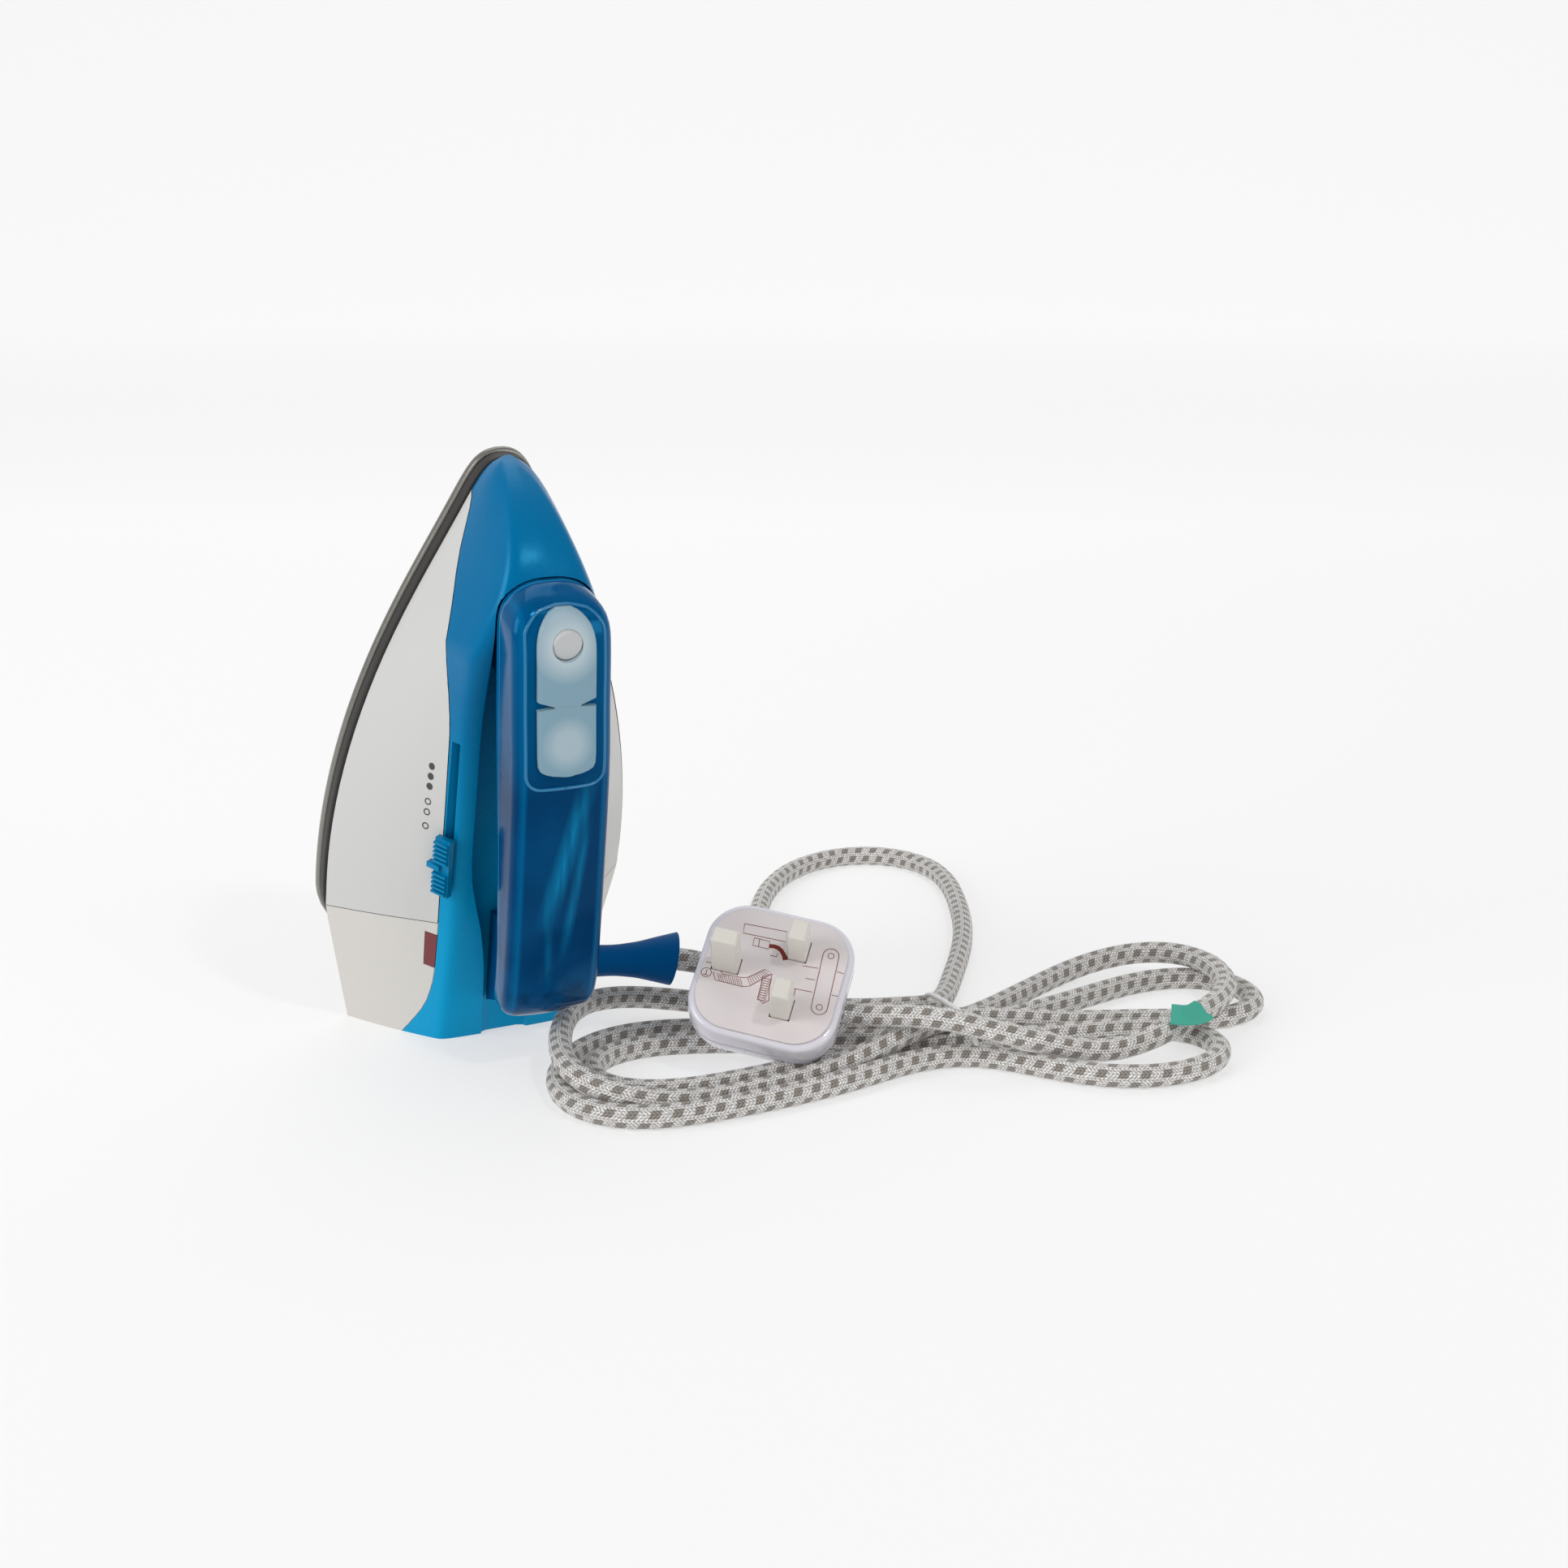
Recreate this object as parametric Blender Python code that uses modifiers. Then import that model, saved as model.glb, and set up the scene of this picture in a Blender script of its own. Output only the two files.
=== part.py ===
"""Small steam iron standing on its heel, with its tied flex and a three-pin plug.

The iron's pieces are drawn as it lies when ironing: x to the nose, y to its left, z up from the
ironing face, in millimetres. One empty, iron_stance, tips them all back onto the heel.
"""

import math

import bmesh
import bpy
import numpy as np
from mathutils import Matrix, Vector

MM = 0.001
GAP = 0.3

# Stance
LEAN = math.radians(17)
FOOT_Z = 27.0

# Soleplate
NOSE_X = 217.0
SOLE_REAR_X = 40.0
SOLE_WIDEST_X = 60.0
SOLE_HALF = 56.3
SOLE_CORNER = 7.3
SOLE_PLATE = 3.2
BLOCK_TOP = 12.0
BLOCK_INSET = 13.0
VENT_R = 1.4

# Heat shield and covers
SHIELD_Z = (3.5, 7.7)
COVER_Z = 8.0
SKIRT_INSET = 1.6
WALL = 2.2
HEEL_WALL = 2.8
SHOULDER_Y = 26.0
SEAM_OFFSET = 50.0
PARTING = ((9.7, 31.6), (18, 36), (28, 40), (41, 42), (60, 42.4), (98, 42.2), (134, 41.6),
           (149, 40.4), (166, 36.6), (177, 31.2), (188, 23), (202, 13.5), (206.5, 7.5))

# Trough under the handle
TROUGH_HALF = 17.6
TROUGH_FLOOR = 34.0
TROUGH_END_X = 178.0

# Handle and tank
HANDLE_TOP = ((44, 74), (47, 81), (53, 85), (62, 86), (85, 84.5), (110, 82), (138, 78.5), (160, 73.5),
              (176, 70), (186, 66.5), (191, 62), (193.4, 55))
HANDLE_RIM = ((44, 73.2), (60, 75), (91, 70.5), (115, 65.5), (145, 58.6), (184, 51.5), (194, 50))
TANK_HALF = 16.6
TANK_WALL = 1.8
TANK_FRONT_X = 178.0
TANK_REAR_X = 60.0
GRIP_HALF = 14.6
GRIP_DEPTH = 6.0
COLUMN_HALF = 7.0

# Panel on the tank: button cover and fill flap
PANEL_HALF = 9.8
PANEL_THICK = 1.6
FLAP_HINGE_X = 161.0
BUTTON_X = 180.0

# Temperature slider with its rack and pinion
SLOT_X = (75.5, 133.2)
SLOT_Z = (42.7, 45.3)
SLIDER_X = 87.0
SLIDER_TRAVEL = 35.0
PINION = (105.0, 15.5)
PITCH_R = 8.0
PINION_TEETH = 16
RACK_Z = (26.0, 29.5)

# Flex
CORD_R = 3.75
GUARD_ROOT = (42.5, 8.4, 31.0)
GUARD_TIP = (53.7, 51.0, 29.0)

PARTS = None
CUTTERS = None
SEATS = {}


def material(name, colour, rough=0.4, metal=0.0, alpha=1.0):
    made = bpy.data.materials.new(name)
    made.use_nodes = True
    shader = made.node_tree.nodes["Principled BSDF"]
    shader.inputs["Base Color"].default_value = (*colour, 1)
    shader.inputs["Roughness"].default_value = rough
    shader.inputs["Metallic"].default_value = metal
    shader.inputs["Alpha"].default_value = alpha
    made.diffuse_color = (*colour, alpha)
    made.roughness = rough
    made.metallic = metal
    return made


def clear():
    for obj in list(bpy.data.objects):
        bpy.data.objects.remove(obj, do_unlink=True)
    for group in list(bpy.data.collections):
        bpy.data.collections.remove(group)


def new_object(name, bm, mat, cutter=False, smooth=None, seat="iron"):
    """A mesh object from a bmesh drawn in millimetres, in the axes of its seat (None: the floor's)."""
    bmesh.ops.recalc_face_normals(bm, faces=bm.faces)
    for face in bm.faces:
        face.smooth = smooth is not None
    if smooth is not None:
        for edge in bm.edges:
            sharp = len(edge.link_faces) == 2 and edge.calc_face_angle(0) > smooth
            edge.smooth = not sharp
    bmesh.ops.scale(bm, vec=Vector((MM, MM, MM)), verts=bm.verts)
    mesh = bpy.data.meshes.new(name)
    bm.to_mesh(mesh)
    bm.free()
    obj = bpy.data.objects.new(name, mesh)
    if cutter:
        CUTTERS.objects.link(obj)
        obj.hide_render = True
        obj.display_type = "WIRE"
    else:
        PARTS.objects.link(obj)
        obj.data.materials.append(mat)
    if seat:
        obj.parent = SEATS[seat]
    return obj


def boolean(obj, other, operation="DIFFERENCE"):
    modifier = obj.modifiers.new(operation.title(), "BOOLEAN")
    modifier.operation = operation
    modifier.solver = "EXACT"
    modifier.object = other
    return modifier


def rings_bmesh(rings):
    """Quads between rings of equal length, with a cap on each end."""
    bm = bmesh.new()
    made = [[bm.verts.new(p) for p in ring] for ring in rings]
    count = len(rings[0])
    for first, second in zip(made, made[1:]):
        for i in range(count):
            j = (i + 1) % count
            bm.faces.new((first[i], first[j], second[j], second[i]))
    bm.faces.new(list(reversed(made[0])))
    bm.faces.new(made[-1])
    return bm


def prism(outline, z0, z1):
    return rings_bmesh([[(x, y, z0) for x, y in outline], [(x, y, z1) for x, y in outline]])


def side_prism(profile, y0, y1):
    """A profile in x and z, extruded across the iron."""
    return rings_bmesh([[(x, y0, z) for x, z in profile], [(x, y1, z) for x, z in profile]])


def box(x, y, z):
    """A box between the two limits given on each axis."""
    outline = [(x[0], y[0]), (x[1], y[0]), (x[1], y[1]), (x[0], y[1])]
    return prism(outline, z[0], z[1])


def rod(a, b, r, segments=16, r2=None):
    """A round bar or cone between two points."""
    a, b = Vector(a), Vector(b)
    axis = (b - a).normalized()
    side = axis.orthogonal().normalized()
    up = axis.cross(side)
    rings = []
    for centre, radius in ((a, r), (b, r if r2 is None else r2)):
        ring = []
        for i in range(segments):
            t = 2 * math.pi * i / segments
            ring.append(tuple(centre + radius * (side * math.cos(t) + up * math.sin(t))))
        rings.append(ring)
    return rings_bmesh(rings)


def turned(a, b, profile, segments=20):
    """A turned piece along the line from a to b: profile holds (distance from a, radius)."""
    a, b = Vector(a), Vector(b)
    axis = (b - a).normalized()
    side = axis.orthogonal().normalized()
    up = axis.cross(side)
    rings = []
    for along, radius in profile:
        ring = []
        for i in range(segments):
            t = 2 * math.pi * i / segments
            ring.append(tuple(a + axis * along + radius * (side * math.cos(t) + up * math.sin(t))))
        rings.append(ring)
    return rings_bmesh(rings)


def spline(points, x):
    """A smooth curve through hand-chosen points, read at x (monotone Hermite)."""
    xs = [p[0] for p in points]
    ys = [p[1] for p in points]
    if x <= xs[0]:
        return ys[0]
    if x >= xs[-1]:
        return ys[-1]
    slopes = [(ys[i + 1] - ys[i]) / (xs[i + 1] - xs[i]) for i in range(len(xs) - 1)]
    tangents = [slopes[0]]
    for left, right in zip(slopes, slopes[1:]):
        tangents.append(0 if left * right <= 0 else 2 * left * right / (left + right))
    tangents.append(slopes[-1])
    i = max(k for k in range(len(xs) - 1) if xs[k] <= x)
    h = xs[i + 1] - xs[i]
    t = (x - xs[i]) / h
    return (
        ys[i] * (1 + 2 * t) * (1 - t) ** 2
        + tangents[i] * h * t * (1 - t) ** 2
        + ys[i + 1] * t * t * (3 - 2 * t)
        + tangents[i + 1] * h * t * t * (t - 1)
    )


def sole_half(x):
    """Half the soleplate's width at x."""
    if x < SOLE_WIDEST_X:
        back = (SOLE_WIDEST_X - x) / (SOLE_WIDEST_X - SOLE_REAR_X)
        return SOLE_HALF - SOLE_CORNER * back**2.5
    u = min(1.0, (x - SOLE_WIDEST_X) / (NOSE_X - SOLE_WIDEST_X))
    return SOLE_HALF * (1 - u * u) ** (0.92 - 0.25 * u**8)


def sole_outline(inset, rear=SOLE_REAR_X, count=20):
    """The soleplate's outline drawn in by an inset, as one closed loop."""
    left = []
    span = NOSE_X - 0.4 - rear
    for i in range(count):
        x = rear + span * math.sin(0.5 * math.pi * i / (count - 1))
        slope = (sole_half(x + 0.5) - sole_half(x - 0.5)) if x < NOSE_X - 1 else -3.0
        lean = math.sqrt(1 + slope * slope)
        y = sole_half(x) - inset * (1 / lean)
        px = x + inset * slope / lean
        if y > 1.0 and (not left or px > left[-1][0] + 0.8):
            left.append((px, y))
    left[0] = (rear, left[0][1])
    return left + [(x, -y) for x, y in reversed(left)]


def cover_half(x):
    return min(45.3 + 0.19 * x, sole_half(max(x, SOLE_WIDEST_X)) - SKIRT_INSET)


def shoulder_z(x):
    if x > 185:
        u = min(1.0, (x - 185) / 33)
        return COVER_Z + 42 * (1 - u * u) ** 0.75
    u = max(0.0, (x - 135) / 50)
    return 43.5 + 6.5 * u * u * (3 - 2 * u)


def body_ring(x, inset=0.0, base=None, shear=True):
    """The covers' outer section at station x, or the same section drawn in by an inset."""
    w = max(1.2, cover_half(x) - 1.15 * inset)
    ys = min(SHOULDER_Y, 0.8 * cover_half(x)) - 1.05 * inset
    ys = max(0.9, ys)
    zs = shoulder_z(x) - 0.5 * inset
    top = zs + (2.5 + 1.5 * min(1.0, x / 60)) * min(1.0, math.sqrt(max(0.0, 218 - x) / 33))
    top -= 0.5 * inset
    z0 = COVER_Z if base is None else base
    r = min(6.5, 0.5 * ys)
    half = [(w - 0.8, z0), (w, z0 + 1.0)]
    for t in (0.33, 0.66):
        bulge = 1.2 * math.sin(math.pi * t)
        half.append((w + (ys - w) * t + bulge, z0 + 1.0 + (zs - z0 - 1.0) * t))
    half.append((ys, zs))
    for t in (0.33, 0.66, 1.0):
        a = 0.5 * math.pi * t
        half.append((ys - r * (1 - math.cos(a)), zs + (top - zs) * math.sin(a)))
    half.append((0.35 * (ys - r), top + 0.4))
    k = max(0.0, 1 - x / 110) if shear else 0.0
    loop = half + [(-y, z) for y, z in reversed(half)]
    return [(x + z * math.tan(LEAN) * k, y, z) for y, z in loop]


STATIONS = (0, 7, 15, 25, 38, 50, 62, 79, 100, 118, 136, 149, 160, 170, 178, 185, 191, 197, 203, 208,
            212, 215, 217)


def outer_body():
    return rings_bmesh([body_ring(x) for x in STATIONS])


def cavity_rings():
    rings = [body_ring(x, WALL, base=COVER_Z + WALL) for x in (HEEL_WALL, 15, 25, 36, 39)]
    rings += [body_ring(x, WALL, base=COVER_Z - 6) for x in (41.5,) + STATIONS[5:-5]]
    return rings


def trough_rings(grow=0.0):
    """Sections of the trough that the handle stands in, or of its wall's outer side."""
    rings = []
    front = TROUGH_HALF + grow
    stops = [(-9, 8.6, 43.9), (20, 8.6, 43.7), (42, 9.5, 42.5), (60, 12, 39.5), (80, 16.6, TROUGH_FLOOR + 2)]
    stops += [(x, TROUGH_HALF, TROUGH_FLOOR) for x in (95, 120, 150, TROUGH_END_X)]
    stops = [(x, h + grow, z - grow) for x, h, z in stops]
    for t in (0.3, 0.55, 0.75, 0.9, 0.985):
        x = TROUGH_END_X + front * t
        stops.append((x, front * math.sqrt(1 - t * t), TROUGH_FLOOR - grow))
    for x, h, z in stops:
        r = min(3.0, 0.5 * h)
        half = [(h - r, z), (h - 0.3 * r, z + 0.3 * r), (h, z + r), (h, 75)]
        loop = half + [(-y, zz) for y, zz in reversed(half)]
        rings.append([(x, y, zz) for y, zz in loop])
    return rings


def parting_upto(seam_side):
    """The parting line's points, cut where the seam crosses it; seam_side is 1 ahead of the seam."""
    t = math.tan(LEAN)
    crossing = None
    points = []
    for (x0, z0), (x1, z1) in zip(PARTING, PARTING[1:]):
        f0 = x0 - z0 * t - SEAM_OFFSET
        f1 = x1 - z1 * t - SEAM_OFFSET
        if f0 * f1 <= 0:
            k = f0 / (f0 - f1)
            crossing = (x0 + (x1 - x0) * k, z0 + (z1 - z0) * k)
    for x, z in PARTING:
        if (x - z * t - SEAM_OFFSET) * seam_side > 0:
            points.append((x, z))
    return crossing, points


def skirt_region():
    crossing, points = parting_upto(1)
    t = math.tan(LEAN)
    low = -6
    half = 0.5 * GAP
    profile = [(SEAM_OFFSET + low * t + half, low), (crossing[0] + half, crossing[1] - half)]
    profile += [(x - half, z - half) for x, z in points]
    profile.append((PARTING[-1][0] - half, low))
    return profile


def rear_region():
    crossing, points = parting_upto(-1)
    t = math.tan(LEAN)
    low = -6
    half = 0.5 * GAP
    profile = [(low * t - 1, low)]
    first = points[0]
    profile.append((first[1] * t - 1, first[1] - half))
    profile += [(x, z - half) for x, z in points]
    profile.append((crossing[0] - half, crossing[1] - half))
    profile.append((SEAM_OFFSET + low * t - half, low))
    return profile


def top_region():
    half = 0.5 * GAP
    t = math.tan(LEAN)
    profile = [(PARTING[0][1] * t - 1, PARTING[0][1] + half)]
    profile += [(x + half, z + half) for x, z in PARTING]
    profile += [(PARTING[-1][0] + half, -6), (NOSE_X + 4, -6), (NOSE_X + 4, 70), (-8, 70)]
    return profile


def soleplate(mats):
    bm = prism(sole_outline(0, count=26), 0, SOLE_PLATE)
    plate = new_object("soleplate", bm, mats["sole_metal"])
    block = prism(sole_outline(BLOCK_INSET, rear=56), SOLE_PLATE - 1, BLOCK_TOP)
    boolean(plate, new_object("block_add", block, None, True), "UNION")
    pocket = box((78, 110), (-17, 1), (6, BLOCK_TOP + 2))
    boolean(plate, new_object("chamber_cut", pocket, None, True))
    groove = element_tube("groove_cut", 3.6, None, cutter=True)
    boolean(plate, groove)
    for i, (x, y) in enumerate(((83, -8), (90, -3), (90, -13), (98, -3), (98, -13), (105, -8))):
        hole = rod((x, y, -2), (x, y, 8), VENT_R, 12)
        boolean(plate, new_object("vent_cut_%d" % i, hole, None, True))
    return plate


def element_path():
    """The heating element's U, from its left end round the nose to its right end."""
    left = [(x, sole_half(x) - 26) for x in (50, 62, 80, 98, 114, 128, 140)]
    turn = []
    radius = left[-1][1]
    for i in range(1, 8):
        a = math.pi * i / 8
        turn.append((left[-1][0] + 1.1 * radius * math.sin(a), radius * math.cos(a)))
    return left + turn + [(x, -y) for x, y in reversed(left)]


def tube_object(name, points, r, mat, cutter=False, sides=2, seat="iron"):
    """A POLY curve swept into a tube, made into a mesh."""
    curve = bpy.data.curves.new(name, "CURVE")
    curve.dimensions = "3D"
    line = curve.splines.new("POLY")
    line.points.add(len(points) - 1)
    for point, co in zip(line.points, points):
        point.co = (co[0] * MM, co[1] * MM, co[2] * MM, 1)
    curve.bevel_depth = r * MM
    curve.bevel_resolution = sides
    curve.use_fill_caps = True
    maker = bpy.data.objects.new(name + "_curve", curve)
    CUTTERS.objects.link(maker)
    graph = bpy.context.evaluated_depsgraph_get()
    mesh = bpy.data.meshes.new_from_object(maker.evaluated_get(graph))
    bpy.data.objects.remove(maker, do_unlink=True)
    bm = bmesh.new()
    bm.from_mesh(mesh)
    bpy.data.meshes.remove(mesh)
    bmesh.ops.remove_doubles(bm, verts=bm.verts, dist=0.00002)
    bmesh.ops.scale(bm, vec=Vector((1 / MM,) * 3), verts=bm.verts)
    return new_object(name, bm, mat, cutter=cutter, smooth=0.9, seat=seat)


def element_tube(name, r, mat, cutter=False):
    points = [(x, y, BLOCK_TOP + 0.4) for x, y in element_path()]
    return tube_object(name, points, r, mat, cutter)


def heating(mats):
    element_tube("heating_element", 3.1, mats["steel"])
    y = sole_half(50) - 26
    for side, name in ((1, "element_terminal_left"), (-1, "element_terminal_right")):
        bm = rod((49.6, side * y, BLOCK_TOP + 0.4), (44.5, side * y, BLOCK_TOP + 0.4), 1.3, 12)
        new_object(name, bm, mats["brass"], smooth=0.6)


def steam_chamber(mats):
    lid = new_object("steam_chamber_lid", box((72, 115.5), (-19.3, 3.4), (12.3, 13.9)), mats["steel"])
    spots = ((75, -8), (112.8, -8))
    for i, (x, y) in enumerate(spots):
        boolean(lid, new_object("lid_hole_%d" % i, rod((x, y, 5), (x, y, 16), 1.8, 14), None, True))
        boolean(bpy.data.objects["soleplate"],
                new_object("lid_tap_%d" % i, rod((x, y, 6.5), (x, y, 14), 1.8, 14), None, True))
        bm = turned((x, y, 7.2), (x, y, 20), ((0, 1.5), (7.0, 1.5), (7.0, 2.9), (8.6, 2.7)), 14)
        new_object("lid_screw_%s" % "ab"[i], bm, mats["steel"], smooth=0.6)
    inlet = (94, -8)
    boolean(lid, new_object("inlet_hole", rod((*inlet, 5), (*inlet, 16), 2.4, 16), None, True))
    points = [(94, -8, 12.5), (94, -8, 18), (96, -8, 21.5), (101, -8, 23.5), (120, -7, 24.5),
              (145, -4, 25), (165, -1.5, 25.5), (175, -0.4, 27), (179, 0, 30.5), (180, 0, 38)]
    tube_object("feed_tube", points, 1.7, mats["silicone"])


def heat_shield(mats):
    shield = new_object("heat_shield", prism(sole_outline(0.7, count=24), *SHIELD_Z), mats["charcoal"])
    inner = prism(sole_outline(10.0, rear=48), SHIELD_Z[0] - 2, SHIELD_Z[1] + 2)
    boolean(shield, new_object("shield_cut", inner, None, True))


def shell_cutters():
    cavity = new_object("cavity_cut", rings_bmesh(cavity_rings()), None, True)
    wall = new_object("trough_wall", rings_bmesh(trough_rings(WALL)), None, True)
    boolean(cavity, wall)
    trough = new_object("trough_cut", rings_bmesh(trough_rings()), None, True)
    return cavity, trough


def flank_box(x0, x1, y, z, across, deep, shift=0.0):
    """A box lying on the left flank: x0 to x1 long, across wide along the slope, deep through it."""
    normal = Vector((0, 0.84, 0.545))
    slope = Vector((0, -0.545, 0.84))
    centre = Vector((0, y, z)) + normal * shift
    corners = []
    for x in (x0, x1):
        ring = []
        for a, b in ((-1, -1), (1, -1), (1, 1), (-1, 1)):
            p = centre + slope * (a * across / 2) + normal * (b * deep / 2)
            ring.append((x, p.y, p.z))
        corners.append(ring)
    return rings_bmesh(corners)


def covers(mats):
    cavity, trough = shell_cutters()
    wall = bpy.data.objects["trough_wall"]
    clear_of_wall = new_object("trough_wall_clear", rings_bmesh(trough_rings(WALL + GAP)), None, True)
    made = {}
    for name, region, mat in (
        ("side_skirt", skirt_region(), "white"),
        ("rear_cover", rear_region(), "white"),
        ("top_cover", top_region(), "blue"),
    ):
        obj = new_object(name, outer_body(), mats[mat], smooth=0.5)
        boolean(obj, cavity)
        boolean(obj, trough)
        cut = new_object(name + "_region", side_prism(region, -80, 80), None, True)
        if name == "top_cover":
            boolean(cut, wall, "UNION")
        else:
            boolean(obj, clear_of_wall)
        boolean(obj, cut, "INTERSECT")
        made[name] = obj
    slot_cut = new_object("slot_cut", box(SLOT_X, (20.4, 34), SLOT_Z), None, True)
    boolean(made["top_cover"], slot_cut)
    window = new_object("lens_cut", flank_box(42.8, 56.8, 28.4, 41.6, 7.0, 16), None, True)
    boolean(made["rear_cover"], window)
    lens = new_object("pilot_lens", outer_body(), mats["red"], smooth=0.5)
    boolean(lens, cavity)
    keep = new_object("lens_keep", flank_box(43.1, 56.5, 28.4, 41.6, 6.4, 15), None, True)
    boolean(lens, keep, "INTERSECT")
    below = new_object("lens_top_cut", side_prism(rear_region(), -80, 80), None, True)
    boolean(lens, below, "INTERSECT")
    hole = new_object("feed_cut", rod((180, 0, 30), (180, 0, 40), 3.2, 16), None, True)
    boolean(made["top_cover"], hole)
    return made


def tank_ring(x, inset=0.0, extra_low=0.0):
    """The tank's section at x; the inset draws in its sides and top only."""
    half = TANK_HALF
    if x > TANK_FRONT_X:
        reach = NOSE_X - 23.0 - TANK_FRONT_X
        half *= math.sqrt(max(0.02, 1 - ((x - TANK_FRONT_X) / reach) ** 2))
    if x < TANK_REAR_X:
        half *= (1 - ((TANK_REAR_X - x) / (TANK_REAR_X - 43)) ** 3.0) ** 0.5
    half = max(0.8, half - inset)
    rim = spline(HANDLE_RIM, x) - extra_low
    top = max(spline(HANDLE_TOP, x) - inset, rim + 0.6)
    r = min(6.0, 0.55 * (top - rim), 0.7 * half)
    loop = [(half, rim), (half, 0.5 * (rim + top - r)), (half, top - r), (half - 0.13 * r, top - 0.5 * r),
            (half - 0.45 * r, top - 0.14 * r), (half - r, top)]
    loop += [(-y, z) for y, z in reversed(loop)]
    return [(x, y, z) for y, z in loop]


def tank(mats):
    stations = (44.5, 46.5, 49, 53, 60, 70, 85, 100, 120, 138, 152, 163, 172, 178, 184, 188, 191, 193)
    outer = [tank_ring(x) for x in stations]
    shell = new_object("tank_shell", rings_bmesh(outer), mats["tank"], smooth=0.6)
    inner = [tank_ring(x, TANK_WALL, 1.0) for x in (47, 49, 53, 60, 70, 85, 100, 120, 138, 152, 163, 172)]
    boolean(shell, new_object("tank_cavity", rings_bmesh(inner), None, True))
    z = spline(HANDLE_TOP, 149)
    fill = box((143, 155.5), (-6, 6), (z - 8, z + 8))
    boolean(shell, new_object("fill_cut", fill, None, True))
    well = rod((BUTTON_X, 0, 40), (BUTTON_X, 0, 80), 5.6, 20)
    boolean(shell, new_object("button_well", well, None, True))
    floor = []
    for x in (47.6, 49.4, 53, 60, 70, 85, 100, 120, 138, 152, 163, 171.4):
        ring = tank_ring(x, TANK_WALL + GAP)
        half = ring[0][1]
        rim = spline(HANDLE_RIM, x)
        floor.append([(x, half, rim), (x, half, rim + 1.4), (x, -half, rim + 1.4), (x, -half, rim)])
    new_object("tank_base", rings_bmesh(floor), mats["navy"])


def handle_grip(mats):
    rim = [(x, spline(HANDLE_RIM, x) - GAP) for x in (48, 60, 75, 91, 103, 115, 130, 145, 158, 170, 184)]
    under = [(x, spline(HANDLE_RIM, x) - GRIP_DEPTH) for x in (60, 75, 91, 103, 115, 130, 145, 156)]
    bar = rim + [(189.5, 50.2), (190.5, 44), (190.5, TROUGH_FLOOR + GAP), (163, TROUGH_FLOOR + GAP)]
    bar += [(161, 42), (160, 48)] + list(reversed(under)) + [(50, 70)]
    grip = new_object("handle_grip", side_prism(bar, -GRIP_HALF, GRIP_HALF), mats["navy"])
    column = [(28, 44.9), (46, 72.4), (64, 72.4), (66, 64), (66, 52), (64, 42.6), (42, 44.0), (33, 44.5)]
    joined = new_object("column_add", side_prism(column, -COLUMN_HALF, COLUMN_HALF), None, True)
    boolean(grip, joined, "UNION")
    front = []
    for x, h in ((150, 17), (182, 13.6), (186, 11.2), (189, 7.0), (190.5, 3.0)):
        front.append([(x, h, 30), (x, h, 60), (x, -h, 60), (x, -h, 30)])
    keep = new_object("grip_nose_keep", rings_bmesh(front), None, True)
    rear = [(-5, -20), (160, -20), (160, 20), (-5, 20)]
    block = new_object("grip_rear_keep", prism(rear, 20, 95), None, True)
    boolean(keep, block, "UNION")
    boolean(grip, keep, "INTERSECT")
    bore = new_object("pump_bore", rod((BUTTON_X, 0, 30), (BUTTON_X, 0, 70), 5.6, 20), None, True)
    boolean(grip, bore)
    edges = grip.modifiers.new("Round", "BEVEL")
    edges.width = 0.0016
    edges.segments = 2
    edges.limit_method = "ANGLE"
    edges.angle_limit = math.radians(50)
    grip.modifiers.move(len(grip.modifiers) - 1, 0)
    return grip


def pump(mats):
    x = BUTTON_X
    cylinder = turned((x, 0, 36.6), (x, 0, 60), ((0, 5.2), (13.0, 5.2)), 20)
    body = new_object("pump_cylinder", cylinder, mats["nylon"], smooth=0.6)
    bore = rod((x, 0, 39.3), (x, 0, 70), 3.6, 20)
    boolean(body, new_object("cylinder_bore", bore, None, True))
    port = rod((x, 0, 30), (x, 0, 41), 2.1, 12)
    boolean(body, new_object("cylinder_port", port, None, True))
    plunger = turned((x, 0, 46.2), (x, 0, 70), ((0, 3.2), (2.8, 3.2), (2.8, 2.0), (17.7, 2.0)), 16)
    new_object("pump_plunger", plunger, mats["nylon"], smooth=0.6)
    button = turned((x, 0, 64.2), (x, 0, 70), ((0, 3.6), (2.6, 3.6), (2.6, 5.0), (6.4, 5.0), (7.0, 4.5)), 28)
    new_object("steam_button", button, mats["button"], smooth=0.6)
    turns = []
    for i in range(33):
        a = 2 * math.pi * i / 8
        turns.append((x + 2.7 * math.cos(a), 2.7 * math.sin(a), 39.9 + 0.22 * i / 8 * 2.6))
    tube_object("pump_spring", turns, 0.22, mats["steel"], sides=0)


def panel_rings(stops, low):
    rings = []
    for x, half in stops:
        z = spline(HANDLE_TOP, x) + low
        top = z + PANEL_THICK
        rings.append([(x, half, z), (x, half - 0.5, top), (x, 0.5 - half, top), (x, -half, z)])
    return rings


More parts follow.
